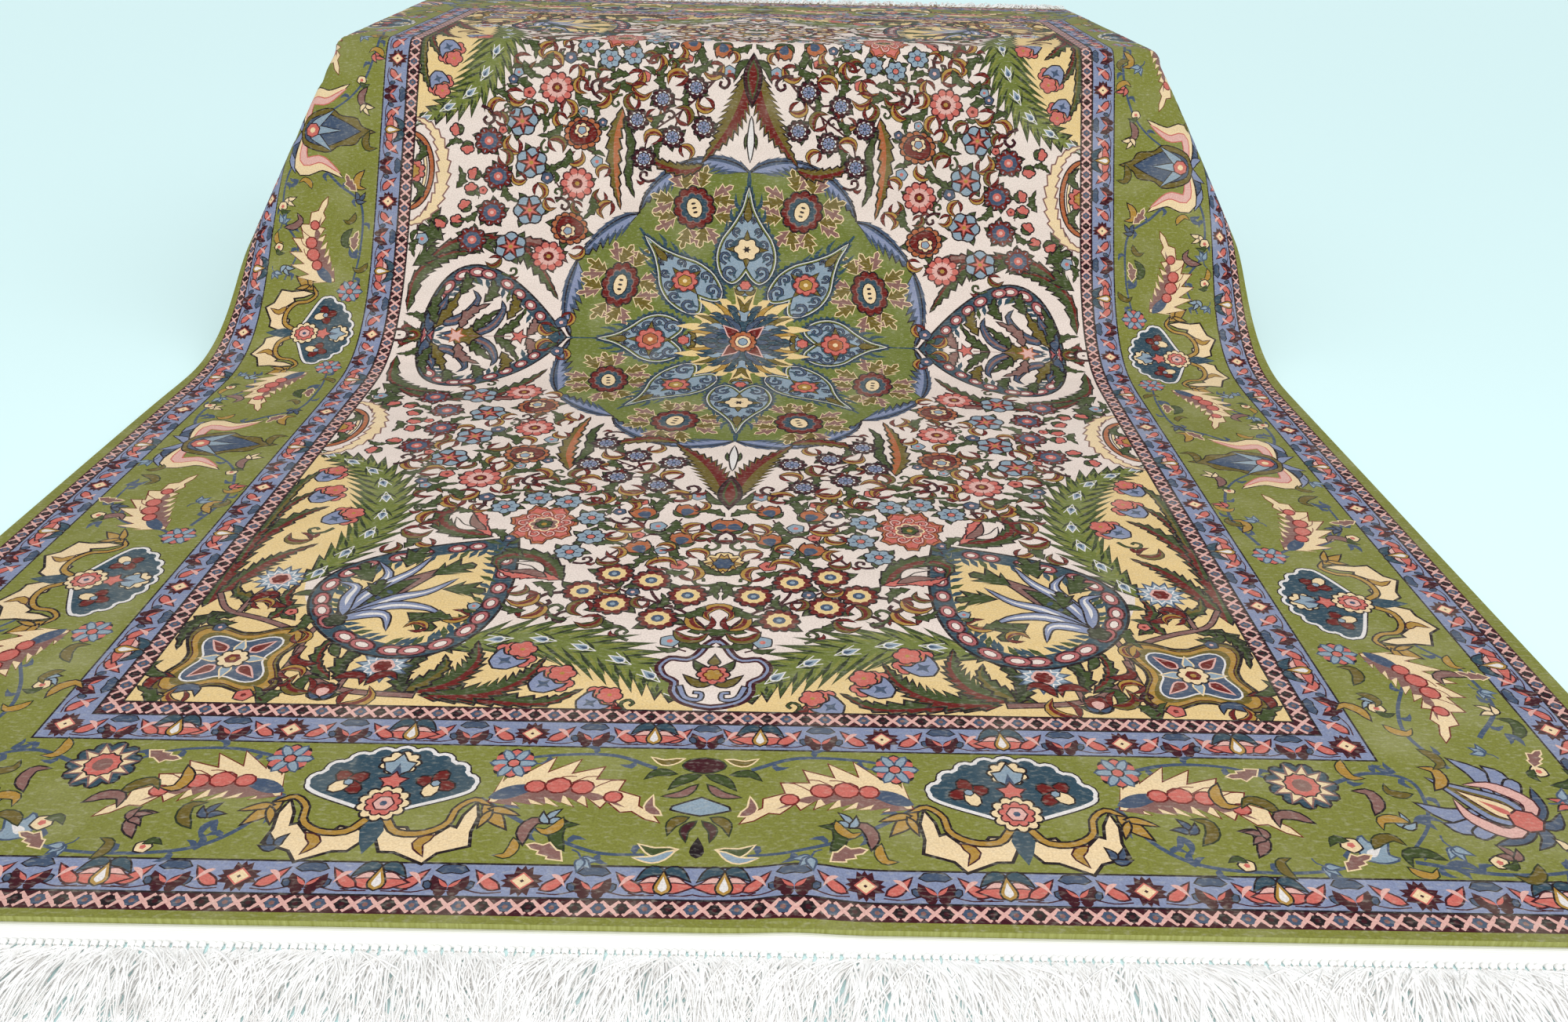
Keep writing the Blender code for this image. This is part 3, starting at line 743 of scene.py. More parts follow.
def corner_lotus(k):
    """Lotus with a pink curled heart and lavender flame petals."""
    for side in (-1, 1):
        for x, y, w in ((0.050, 0.066, 0.022), (0.062, 0.034, 0.020), (0.060, 0.004, 0.016)):
            k.leaf([(0, -0.01), (side * x * 0.85, y * 0.45), (side * x, y)], 9, w, "lavender",
                "ink", 0.0011)
        k.leaf([(0, -0.034), (side * 0.032, -0.03), (side * 0.06, -0.014)], 8, 0.013, "slate",
            "ink", 0.0009)
        k.leaf([(0, -0.036), (side * 0.014, -0.05), (side * 0.036, -0.048)], 7, 0.012, "slate",
            "ink", 0.0009)
    k.lay(drop(0.1, 0.046, 16) + [0, -0.028], "lavender", "ink", 0.0011)
    k.lay(drop(0.082, 0.032, 14) + [0, -0.022], "olive")
    k.lay(drop(0.062, 0.022, 12) + [0, -0.02], "cream", "maroon", 0.0009)
    for side in (-1, 1):
        k.leaf([(0, -0.026), (side * 0.03, -0.02), (side * 0.034, 0.016), (side * 0.016, 0.04)], 12,
            0.016, "pink", "maroon", 0.0009)
        k.strap([(side * 0.004, -0.022), (side * 0.026, -0.014), (side * 0.027, 0.014)], 8, 0.0018,
            "maroon")
    k.lay(scallops(7, 0.016, 0.22, steps=3) + [0, -0.026], "coral", "maroon", 0.001)
    k.lay(drop(0.034, 0.009, 8) + [0, -0.012], "coral")
    k.take(0, 0.01, 0.06)


def sprig(k, dye="olive", rim="ink", size=1.0):
    """Three small leaves from one point."""
    for turn, length in ((0.0, 0.024), (0.9, 0.018), (-0.9, 0.018)):
        line = curve([(0, 0), (length * 0.1 * size, length * 0.5 * size),
                      (-length * 0.15 * size, length * size)], 6)
        k.lay(turned(leaf_shape(line, 0.008 * size), turn), dye, rim, 0.0008)


def comma(k, length=0.030, width=0.010, dye="olive", rim="ink"):
    """Small curled leaf."""
    line = curve([(0, 0), (length * 0.42, length * 0.32), (length * 0.52, length * 0.78),
                  (length * 0.15, length)], 9)
    k.lay(leaf_shape(line, width), dye, rim, 0.0009)


def tulip(k, size, outer, inner, calyx="leaf"):
    """Cup flower seen from the side, its foot at the origin."""
    k.twin([(0, size * 1.7), (size * 0.4, size * 1.9), (size * 0.8, size * 1.5), (size, size * 1.6),
        (size * 0.92, size * 0.8), (size * 0.5, size * 0.1), (0, 0)], 16, outer, "ink", 0.0011)
    k.twin([(0, size * 1.35), (size * 0.5, size * 1.1), (size * 0.4, size * 0.5), (0, size * 0.05)],
        9, inner)
    for side in (-1, 1):
        k.leaf([(0, -size * 0.1), (side * size * 0.6, size * 0.1),
            (side * size * 1.05, size * 0.6)], 6, size * 0.42, calyx, "ink", 0.0008)
    k.take(0, size * 0.8, size * 1.2)


def draw_border(k):
    """Bands, lattices, guards and the main border of one quarter, laid round the field."""
    dyes = ("green", "maroon", "lavender", "green", "lavender", "maroon")
    ends, sides = (0.0,) + END_BANDS, (0.0,) + SIDE_BANDS
    for index, dye in enumerate(dyes):
        k.lay(band(ends[index], ends[index + 1], sides[index], sides[index + 1]), dye)
    for v, d in zip(END_BANDS[1:], SIDE_BANDS[1:]):
        k.lay(band(v - 0.0012, v + 0.0012, d - 0.0012, d + 0.0012), "ink")
    draw_lattices(k)
    draw_guards(k)
    draw_end_border(k)
    draw_side_border(k)
    fill_border(k)


def band(v0, v1, d0, d1):
    """L-shaped stretch of a border band, between two depths from the end and from the side."""
    past = HALF_LENGTH + 0.02
    return np.array([(-0.02, v0), (HALF_WIDTH - d0, v0), (HALF_WIDTH - d0, past),
                     (HALF_WIDTH - d1, past), (HALF_WIDTH - d1, v1), (-0.02, v1)])


def draw_lattices(k):
    for lo, hi in ((0, 1), (4, 5)):
        end_depth = (END_BANDS[lo] + END_BANDS[hi]) / 2
        side_depth = (SIDE_BANDS[lo] + SIDE_BANDS[hi]) / 2
        lattice_row(k, 0.0, HALF_WIDTH - side_depth, Row(False, end_depth),
            END_BANDS[hi] - END_BANDS[lo])
        lattice_row(k, end_depth, HALF_LENGTH, Row(True, side_depth),
            SIDE_BANDS[hi] - SIDE_BANDS[lo])


def draw_guards(k):
    inner_end, outer_end = Row(False, 0.278), Row(False, 0.0545)
    inner_side, outer_side = Row(True, 0.304), Row(True, 0.0595)
    guard_row(k, [("lotus", -0.058), ("lotus", 0.058), ("star", 0.1915), ("lotus", 0.323),
        ("star", 0.4555), ("lotus", 0.581), ("star", 0.704)], inner_end, 0.0)
    guard_row(k, [("lotus" if index % 2 else "star", 0.281 + 0.1464 * index) for index in range(9)],
        inner_side, math.pi / 2)
    guard_row(k, [("lotus", 0.029), ("star", 0.161), ("lotus", 0.296), ("star", 0.426),
        ("lotus", 0.554), ("star", 0.686), ("lotus", 0.818), ("star", 0.949)], outer_end, 0.0)
    guard_row(k, [("star", 0.0545), ("lotus", 0.186), ("star", 0.317), ("lotus", 0.445),
        ("star", 0.574), ("lotus", 0.718), ("star", 0.863), ("lotus", 1.01), ("star", 1.157),
        ("lotus", 1.305), ("star", 1.452)], outer_side, math.pi / 2)


BORDER_STEP = 0.042
BORDER_GAP = 0.017


def fill_border(k):
    """Small leaves, trefoils and buds where the main border is still free."""
    rng = np.random.default_rng(3)
    taken = np.array(k.taken)
    count = 0
    for y in np.arange(END_BANDS[2] + 0.018, HALF_LENGTH, BORDER_STEP * 0.85):
        for x in np.arange(0.02, HALF_WIDTH - SIDE_BANDS[2] - 0.014, BORDER_STEP):
            px = x + rng.uniform(-0.3, 0.3) * BORDER_STEP
            py = y + rng.uniform(-0.3, 0.3) * BORDER_STEP
            side = px > HALF_WIDTH - SIDE_BANDS[3] + 0.016
            end = py < END_BANDS[3] - 0.014
            gap = (np.hypot(taken[:, 0] - px, taken[:, 1] - py) - taken[:, 2]).min()
            turn, pick = rng.uniform(0, 2 * math.pi), rng.uniform()
            if not (side or end) or px > HALF_WIDTH - SIDE_BANDS[2] - 0.012 or gap < BORDER_GAP:
                continue
            count += 1
            with k.at(px, py, turn, 0.8 + 0.3 * pick, 1 if count % 2 else -1):
                border_filler(k, count)


def border_filler(k, index):
    kind = index % 6
    if kind in (0, 3):
        k.leaf([(-0.014, -0.008), (0.0, -0.006), (0.01, 0.004), (0.006, 0.016)], 9, 0.011, "gold" if
            kind else "olive", "dark_green", 0.0007)
    elif kind == 1:
        for turn in (-0.8, 0.0, 0.8):
            k.lay(turned(drop(0.016, 0.008, 7), turn), "pale_blue", "slate", 0.0009)
        k.strap([(0, 0), (0.003, -0.01), (0.0, -0.018)], 5, 0.0022, "slate")
    elif kind == 2:
        k.lay(frond_shape(curve([(-0.014, -0.012), (0.0, 0.0), (0.008, 0.018)], 9), 0.017, 3),
            "mauve", "cream", 0.0007)
    elif kind == 4:
        k.leaf([(-0.012, -0.01), (0.002, 0.0), (0.006, 0.016)], 7, 0.0095, "slate")
        k.leaf([(-0.012, -0.01), (-0.008, 0.004), (-0.012, 0.014)], 7, 0.0075, "slate")
    else:
        k.petals(5, 0.0095, 0.25, 3, "cream", "ink", 0.0008)
        k.leaf([(0, -0.006), (0.01, -0.01), (0.018, -0.004)], 6, 0.008, "leaf", "dark_green",
            0.0007)
        k.lay(oval(0, 0, 0.004, count=5), "coral")


def loose_leaves(k, commas, sprigs):
    """Leaves of the main border that stand alone: place, turn and dye of each."""
    for x, y, turn, dye in commas:
        with k.at(x, y, turn):
            comma(k, 0.036, 0.012, dye, "dark_green" if dye in ("olive", "leaf") else "ink")
    for x, y, turn, dye in sprigs:
        with k.at(x, y, turn):
            sprig(k, dye, "ink", 0.9)


def vine(k, points, leaves, width=0.0056, dye="slate"):
    """Border vine with little paired leaves."""
    line = curve(points, 8 * len(points))
    k.lay(ribbon(line, width, width * 0.6), dye)
    side = sides_of(line)
    for index in range(leaves):
        at = int((index + 0.7) / leaves * (len(line) - 1))
        x, y = line[at]
        way = 1 if index % 2 else -1
        nx, ny = side[at] * way
        tx, ty = side[at][1], -side[at][0]
        tip = (x + nx * 0.013 + tx * 0.013, y + ny * 0.013 + ty * 0.013)
        k.leaf([(x, y), (x + nx * 0.01, y + ny * 0.01), tip], 5, 0.008, dye)


def draw_end_border(k):
    for leaves, points in (
            (4, [(50, 222), (100, 243), (170, 240), (202, 228)]),
            (5, [(225, 170), (160, 125), (100, 95), (50, 92)]),
            (6, [(425, 172), (450, 120), (490, 90), (560, 82), (620, 88), (650, 105)]),
            (4, [(445, 228), (500, 243), (560, 240), (600, 222)]),
            (6, [(660, 215), (710, 235), (750, 220), (740, 160), (700, 110)]),
            (6, [(700, 100), (780, 85), (860, 95), (900, 140)])):
        vine(k, mm(points), leaves)
    with k.at(0.321, 0.186):
        shield(k)
    with k.at(0.218, 0.172, math.pi - 0.05):
        feather_mirrored(k)
    with k.at(0.426, 0.176, 0.0):
        feather(k)
    for x, y in ((0.202, 0.227), (0.439, 0.228)):
        with k.at(x, y):
            ring_rosette(k)
    with k.at(0.630, 0.213):
        sunflower(k)
    with k.at(0.657, 0.107, -0.9):
        blue_bud(k)
    with k.at(0.822, 0.180, math.radians(48)):
        corner_lotus(k)
    centre_motif(k)
    leaves = ((0.54, 0.212, -2.6, "gold"), (0.17, 0.105, 0.8, "mauve"),
              (0.13, 0.098, 0.4, "leaf"), (0.50, 0.12, 0.2, "olive"), (0.55, 0.105, 0.4, "mauve"),
              (0.59, 0.165, 1.4, "olive"), (0.69, 0.17, 0.4, "mauve"), (0.73, 0.105, 2.0, "leaf"),
              (0.77, 0.21, 0.2, "gold"), (0.90, 0.22, -0.6, "leaf"), (0.62, 0.155, 1.9, "mauve"))
    sprigs = ((0.49, 0.135, 0.2, "slate"), (0.15, 0.135, 0.3, "pale_blue"),
                            (0.405, 0.095, -0.8, "slate"), (0.565, 0.13, 1.0, "mauve"),
                            (0.71, 0.15, -0.4, "pale_blue"), (0.80, 0.105, 0.2, "mauve"),
                            (0.86, 0.12, -0.8, "cream"), (0.90, 0.185, 0.8, "coral"))
    loose_leaves(k, leaves, sprigs)


def feather_mirrored(k):
    """The same plume, bent the other way."""
    flipped = Sketch()
    feather(flipped)
    for points, dye in flipped.shapes:
        k.shapes.append((k.placed(points * [1, -1]), dye))
    for x, y, radius in flipped.taken:
        k.take(x, -y, radius)


def blue_bud(k):
    k.twin([(0, 0.034), (0.01, 0.018), (0.02, 0.02), (0.014, 0.004), (0, -0.006)], 12, "pale_blue",
        "slate", 0.001)
    k.lay(drop(0.024, 0.01, 8), "white")


def centre_motif(k):
    """Small symmetric motif where the two halves of an end border meet."""
    k.twin([(0, 0.24), (0.016, 0.236), (0.022, 0.226), (0.01, 0.218), (0, 0.216)], 10, "maroon",
        "dark_green", 0.0009)
    k.twin([(0, 0.176), (0.012, 0.17), (0.03, 0.16), (0.016, 0.154), (0, 0.15)], 10, "pale_blue",
        "ink", 0.001)
    k.leaf([(0, 0.088), (0.002, 0.1), (0, 0.118)], 6, 0.011, "ink")
    for points, width, dye, rim in CENTRE_LEAVES:
        k.leaf(points, 8, width, dye, rim, 0.0008)
    for y in (0.10, 0.14, 0.18, 0.22):
        k.take(0.01, y, 0.045)


CENTRE_LEAVES = (
    ([(0.004, 0.212), (0.022, 0.204), (0.034, 0.190)], 0.011, "leaf", "dark_green"),
    ([(0.006, 0.196), (0.020, 0.182), (0.040, 0.178)], 0.009, "mauve", "dark_green"),
    ([(0.012, 0.146), (0.026, 0.138), (0.030, 0.122)], 0.011, "olive", "dark_green"),
    ([(0.004, 0.140), (0.014, 0.128), (0.012, 0.112)], 0.008, "maroon", "dark_green"),
    ([(0.040, 0.150), (0.052, 0.160), (0.050, 0.178)], 0.010, "mauve", "cream"),
    ([(0.020, 0.100), (0.040, 0.096), (0.056, 0.106)], 0.011, "leaf", "cream"),
    ([(0.022, 0.098), (0.040, 0.086), (0.060, 0.088)], 0.008, "pale_blue", "cream"),
    ([(0.024, 0.238), (0.042, 0.232), (0.056, 0.240)], 0.008, "olive", "cream"),
    ([(0.030, 0.214), (0.048, 0.216), (0.060, 0.206)], 0.009, "leaf", "dark_green"),
)


def draw_side_border(k):
    for points in ([(800, 245), (780, 300), (790, 350), (830, 430), (800, 460)],
                   [(860, 300), (905, 360), (900, 440), (870, 490), (880, 520)],
                   [(760, 700), (800, 730), (860, 750), (900, 800), (905, 870)],
                   [(760, 740), (745, 820), (760, 900), (790, 950), (840, 990)],
                   [(840, 1090), (800, 1130), (755, 1170), (750, 1260), (760, 1340)],
                   [(880, 1050), (910, 1120), (905, 1200), (870, 1260), (890, 1330)]):
        vine(k, mm(points), 6)
    for v in (0.587, 1.452):
        with k.at(0.806, v, math.pi / 2):
            shield(k)
    with k.at(0.798, 0.470, -math.pi / 2 + 0.35):
        feather(k)
    with k.at(0.798, 0.725, math.pi / 2 - 0.35):
        feather_mirrored(k)
    with k.at(0.800, 1.335, -math.pi / 2 + 0.35):
        feather(k)
    for x, y in ((0.764, 0.464), (0.764, 0.710), (0.762, 1.352)):
        with k.at(x, y):
            ring_rosette(k)
    with k.at(0.880, 1.020, math.pi / 2):
        lotus_palmette(k, 0.14, 0.088)
    leaves = ((0.76, 0.40, 0.3, "olive"), (0.90, 0.42, 2.2, "mauve"), (0.75, 0.33, 1.2, "gold"),
              (0.90, 0.30, 0.2, "leaf"), (0.75, 0.78, 0.3, "gold"), (0.90, 0.90, 2.8, "olive"),
              (0.76, 0.93, 0.4, "mauve"), (0.90, 1.22, 2.6, "mauve"), (0.755, 1.10, 0.3, "gold"),
              (0.77, 1.22, 0.3, "leaf"), (0.90, 0.75, 1.6, "mauve"), (0.75, 1.02, 0.6, "olive"))
    sprigs = ((0.90, 0.345, 0.6, "cream"), (0.77, 0.365, 2.0, "pale_blue"),
                            (0.895, 0.79, 1.2, "slate"), (0.75, 0.86, 1.0, "coral"),
                            (0.90, 1.16, 0.6, "cream"), (0.765, 1.16, 2.2, "slate"),
                            (0.89, 1.30, 0.2, "pale_blue"), (0.76, 0.965, 0.2, "cream"))
    loose_leaves(k, leaves, sprigs)


# Field

def mm(points):
    """Points given in millimetres."""
    return np.asarray(points, float) * 0.001


def down(points):
    """The same points on the near side of the middle line."""
    return np.asarray(points, float) * [1, -1]


def frond(k, points, width, teeth, dye, rim="ink", depth=0.45, fullness=0.75, sides=(1, 1),
          lean=0.55, rim_width=0.0012):
    line = curve(points, 3 * teeth + 6)
    k.lay(frond_shape(line, width, teeth, depth, lean, fullness, sides), dye, rim, rim_width)
    for x, y in line[1::3]:
        k.take(x, y, width * 0.5)
    return line


def two_tone(k, points, width, teeth, dye, second, sides=(1, 1), fullness=0.75, depth=0.45):
    """Serrated leaf with a second colour along its one side."""
    line = frond(k, points, width, teeth, dye, "ink", depth, fullness, sides)
    lower = frond_shape(line, width * 0.86, teeth, depth, 0.5, fullness,
                        (0.08, sides[1]) if sides[1] else (sides[0], 0.08))
    k.lay(lower, second)
    return line


def medallion_flower(k, rx, ry):
    """Oval rosette with eight pairs of jagged leaves."""
    for index in range(8):
        turn = index * math.pi / 4 + 0.3
        x, y = rx * 1.05 * math.cos(turn), ry * 1.02 * math.sin(turn)
        with k.at(x, y, turn - math.pi / 2 + (0.35 if index % 2 else -0.35)):
            for side, dye in ((-1, "mauve"), (1, "olive")):
                k.lay(frond_shape(curve([(0, 0), (side * 0.009, 0.02), (side * 0.018, 0.043)], 8),
                    0.03, 3, 0.62, 0.7, 0.6), dye, "cream", 0.0007)
    ring = scallops(11, 1.0, 0.16, steps=4)
    k.lay(ring * [rx, ry], "red", "ink", 0.0014)
    k.lay(scallops(10, 1.0, 0.16, phase=0.3, steps=4) * [rx * 0.7, ry * 0.7], "teal", "mauve",
        0.0009)
    k.lay(oval(0, 0, rx * 0.36, ry * 0.46, count=12), "cream", "ink", 0.0009)
    for y in (-0.35, 0.0, 0.35):
        k.lay(oval(0, y * ry * 0.6, rx * 0.13, ry * 0.055, count=6), "ink")
    k.take(0, 0, max(rx, ry) * 1.8)


def medallion_drop(k, length, half, heart):
    """Teardrop of scrolls round a flower, its foot at the origin and its tip on +Y."""
    body = mirrored(curve([(0, length), (half * 0.16, length * 0.80), (half * 0.48, length * 0.62),
                           (half * 0.86, length * 0.45), (half, length * 0.26),
                           (half * 0.84, length * 0.07), (half * 0.50, -0.004),
                           (half * 0.22, 0.006), (0, length * 0.13)], 26))
    teeth = refined(grown(body, 0.007), 0.010)
    wobble = np.where(np.arange(len(teeth)) % 2 == 0, 1.0, 0.0)[:, None]
    middle = np.array([0, length * 0.35])
    for side in (-1, 1):
        for share in (0.50, 0.64, 0.78):
            x = side * half * (1.02 - share)
            k.leaf([(x, length * share), (x + side * 0.011, length * share + 0.012),
                (x + side * 0.012, length * share + 0.036)], 6, 0.008, "teal")
    k.lay(teeth + (teeth - middle) * wobble * 0.09, "teal")
    k.lay(grown(body, 0.004), "teal", "ink", 0.0006)
    k.lay(grown(body, 0.0006), "medallion", "white", 0.0007)
    k.lay(grown(body, -0.004), "pale_blue", "ink", 0.0008)
    for side in (-1, 1):
        for y, across, size in ((0.10, 0.46, 1.05), (0.27, 0.66, 0.85), (0.41, 0.50, 0.75),
                                (0.55, 0.32, 0.60), (0.68, 0.16, 0.42)):
            with k.at(side * half * across, length * y, 0, size, side):
                k.strap(mm([(4, -18), (15, -8), (14, 7), (3, 11), (-4, 2), (2, -4), (6, 0)]), 15,
                    0.0052, "slate", "ink", 0.0006, end=0.0036)
                k.leaf(mm([(-8, -14), (-2, -5), (-10, 8)]), 5, 0.0056, "teal")
    k.lay(drop(length * 0.24, half * 0.26, 8) + [0, length * 0.66], "olive", "ink", 0.0008)
    k.lay(oval(0, length * 0.36, half * 0.6, half * 0.52, count=12), "teal")
    with k.at(0, length * 0.36):
        for turn in range(4):
            k.lay(turned(drop(half * 0.74, half * 0.3, 8), turn * math.pi / 2), "olive", "ink",
                0.0008)
        if heart == "cream":
            k.petals(6, half * 0.44, 0.35, 5, "cream", "ink", 0.0009)
            k.lay(spikes(6, half * 0.16, half * 0.08), "ink")
        else:
            k.petals(8, half * 0.46, 0.25, 4, "coral", "red", 0.0009)
            k.petals(6, half * 0.26, 0.2, 3, "gold" if heart == "coral" else "rust", "ink", 0.0007)
            k.lay(oval(0, 0, half * 0.09, count=6), "cream")


def small_bud(k):
    """Half flower at the foot of a teardrop."""
    k.lay(scallops(7, 0.017, 0.28, steps=4) * [1, 0.8] + [0, -0.006], "pale_blue", "ink", 0.0009)
    k.lay(scallops(6, 0.0105, 0.2, steps=4) + [0, 0.005], "coral", "maroon", 0.0009)
    for side in (-1, 1):
        k.leaf([(0, -0.01), (side * 0.012, -0.014), (side * 0.02, -0.004)], 6, 0.008, "olive",
            "ink", 0.0008)


# Rings of leaves of the sunburst: count, foot, tip, width and dyes
SUNBURST_RINGS = (
    (22, 0.060, 0.134, 0.0190, ("yellow",)),
    (30, 0.050, 0.110, 0.0100, ("teal", "gold", "teal", "olive")),
    (28, 0.030, 0.092, 0.0110, ("slate", "teal", "pale_blue", "teal")),
    (20, 0.016, 0.064, 0.0110, ("teal", "slate")),
)


def sunburst(k):
    """Spiky star at the middle of the medallion."""
    k.lay(oval(0, 0, 0.092, count=24), "yellow")
    for ring, (count, foot, tip, width, dyes) in enumerate(SUNBURST_RINGS):
        for index in range(count):
            line = curve([(0, foot), (0.006, (foot + tip) / 2),
                          (-0.004, tip * (1.0 if index % 2 else 0.84))], 7)
            k.lay(turned(leaf_shape(line, width), (index + 0.5) * 2 * math.pi / count), dyes[index %
                len(dyes)], "ink" if ring else None, 0.0005)
    for index in range(4):
        turn = math.pi / 4 + index * math.pi / 2
        k.lay(turned(drop(0.036, 0.021, 10) + [0, 0.016], turn), "red", "pink", 0.001)
    k.petals(12, 0.025, 0.14, 4, "rust", "ink", 0.001)
    k.petals(9, 0.015, 0.15, 3, "cream", "red", 0.001)
    k.lay(oval(0, 0, 0.008, count=8), "pale_blue", "slate", 0.0008)


def slate_rim(k, points, width, teeth):
    """Leaf that edges a lobe: smooth and dark outside, lavender teeth on the lobe's own side."""
    line = curve(down(points), 4 * teeth + 8)
    k.lay(frond_shape(line, width * 1.75, teeth, 0.42, 0.6, 0.55, (0.22, 1.0)), "slate", "ink",
        0.0011)
    k.lay(frond_shape(line[:-3], width * 1.15, teeth, 0.42, 0.6, 0.55, (0.02, 1.0)), "lavender")
    k.lay(leaf_shape(line, width * 0.34, 0.6), "slate")
    k.lay(ribbon(line, 0.003, 0.0016), "ink")


# Half axes of the medallion's oval, how far its lobes arch past it and where two lobes meet
MEDALLION_AXES = (0.320, 0.376)
LOBE_ARCH = 0.13
LOBE_JOINT = 49.0


def lobe_edge(first, last, count=14):
    """Edge of the medallion between two angles in degrees: lobes that arch over an oval."""
    a = np.linspace(first, last, count)
    share = np.where(a > LOBE_JOINT, (a - LOBE_JOINT) / (90 - LOBE_JOINT), a / LOBE_JOINT)
    reach = 1 + LOBE_ARCH * np.maximum(np.sin(math.pi * share), 0) ** 0.6
    a = np.radians(a)
    return np.stack([MEDALLION_AXES[0] * reach * np.cos(a), MEDALLION_AXES[1] * reach * np.sin(a)],
                    axis=1)


def draw_medallion(k):
    body = np.vstack([lobe_edge(90, 0, 76), [(0.31, -0.03), (-0.03, -0.03), (-0.03, 0.376)]])
    with k.at(0.0, HALF_LENGTH):
        k.lay(down(body), "medallion", "ink", 0.0016)
        for first, last in ((89.5, 69), (70, 50), (48.5, 25), (25, 1)):
            slate_rim(k, lobe_edge(first, last), 0.042, 8)
        for points, width in (([(0, 386), (3, 360), (0, 330)], 0.004),
                              ([(211, 257), (203, 248), (190, 232)], 0.005),
                              ([(334, 0), (300, 0), (270, 0)], 0.004)):
            k.lay(ribbon(down(curve(mm(points), 6)), width, 0.002), "teal")
        with k.at(0.106, -0.304, 0.25):
            medallion_flower(k, 0.04, 0.045)
        with k.at(0.242, -0.128, -0.12):
            medallion_flower(k, 0.035, 0.052)
        with k.at(0, -0.144, math.pi):
            medallion_drop(k, 0.205, 0.056, "cream")
        with k.at(0.122, 0, -math.pi / 2):
            medallion_drop(k, 0.15, 0.058, "rust")
        with k.at(0.072, -0.086, -math.pi * 0.78):
            medallion_drop(k, 0.198, 0.052, "coral")
        sunburst(k)
        with k.at(0, -0.130, math.pi):
            small_bud(k)
        with k.at(0.108, 0, -math.pi / 2):
            small_bud(k)
        k.taken.append((0.0, HALF_LENGTH, 0.33))
        for x, y in ((0.10, 0.36), (0.20, 0.30), (0.27, 0.22), (0.31, 0.12), (0.05, 0.38)):
            k.take(x, -y, 0.055)


def bead(k, x, y, rx, ry, turn):
    k.lay(oval(x, y, rx, ry, turn, 11), "rose", "maroon", 0.0012)
    k.lay(oval(x, y, rx * 0.56, ry * 0.54, turn, 8), "ivory", "maroon", 0.0005)


def beaded_band(k, outline, width, ground, size=1.0, skip=0):
    """Slate band with beads round a pear-shaped figure, toothed on its inner edge."""
    line = curve(outline, 64)
    body = line[:-1]
    k.lay(body, "teal", "ink", 0.0016)
    inner = grown(body, -width)
    k.lay(inner, ground)
    side = sides_of(line)
    way = -1.0 if area_of(body) > 0 else 1.0
    lengths = np.concatenate([[0], np.cumsum(np.linalg.norm(np.diff(line, axis=0), axis=1))])
    total = lengths[-1]
    teeth = int(total / 0.0175)
    for index in range(teeth):
        at = np.interp((index + 0.5) / teeth * total, lengths, np.arange(len(line)))
        i = int(at)
        n = -side[i] * way
        t = np.array([side[i][1], -side[i][0]])
        foot = line[i] + n * width * 0.72
        tip = foot + n * 0.026 + t * 0.014
        k.lay(leaf_shape(np.array([foot - t * 0.004, (foot + tip) / 2 + n * 0.002, tip]), 0.01),
            "leaf" if index % 3 == 1 else "teal")
    count = int(total / (0.038 * size))
    for index in range(skip, count - skip):
        at = np.interp((index + 0.5) / count * total, lengths, np.arange(len(line)))
        i = int(at)
        n = -side[i] * way
        x, y = line[i] + n * width * 0.52
        turn = math.atan2(side[i][0], -side[i][1]) + math.pi / 2 + math.pi / 2
        swell = 0.55 + 0.45 * math.sin(math.pi * (index + 0.5) / count)
        bead(k, x, y, 0.0165 * size * swell, 0.0094 * size * (0.75 + 0.25 * swell), turn)
        k.take(x, y, 0.02)
    return body


def jagged_leaf(k, x, y, turn, size=1.0, dye="leaf"):
    """Little leaf with jagged lobes."""
    with k.at(x, y, turn, size):
        k.lay(frond_shape(curve([(0, 0), (0.002, 0.02), (-0.004, 0.042)], 8), 0.034, 3, 0.6, 0.9,
            0.6), dye, "ink", 0.0012)


def blade(k, points, width, dye="lavender", heart="white"):
    """Lily petal with a pale middle."""
    line = curve(points, 12)
    k.lay(leaf_shape(line, width, 0.62), dye, "ink", 0.0011)
    k.lay(leaf_shape(line[2:-2], width * 0.34, 0.62), heart)


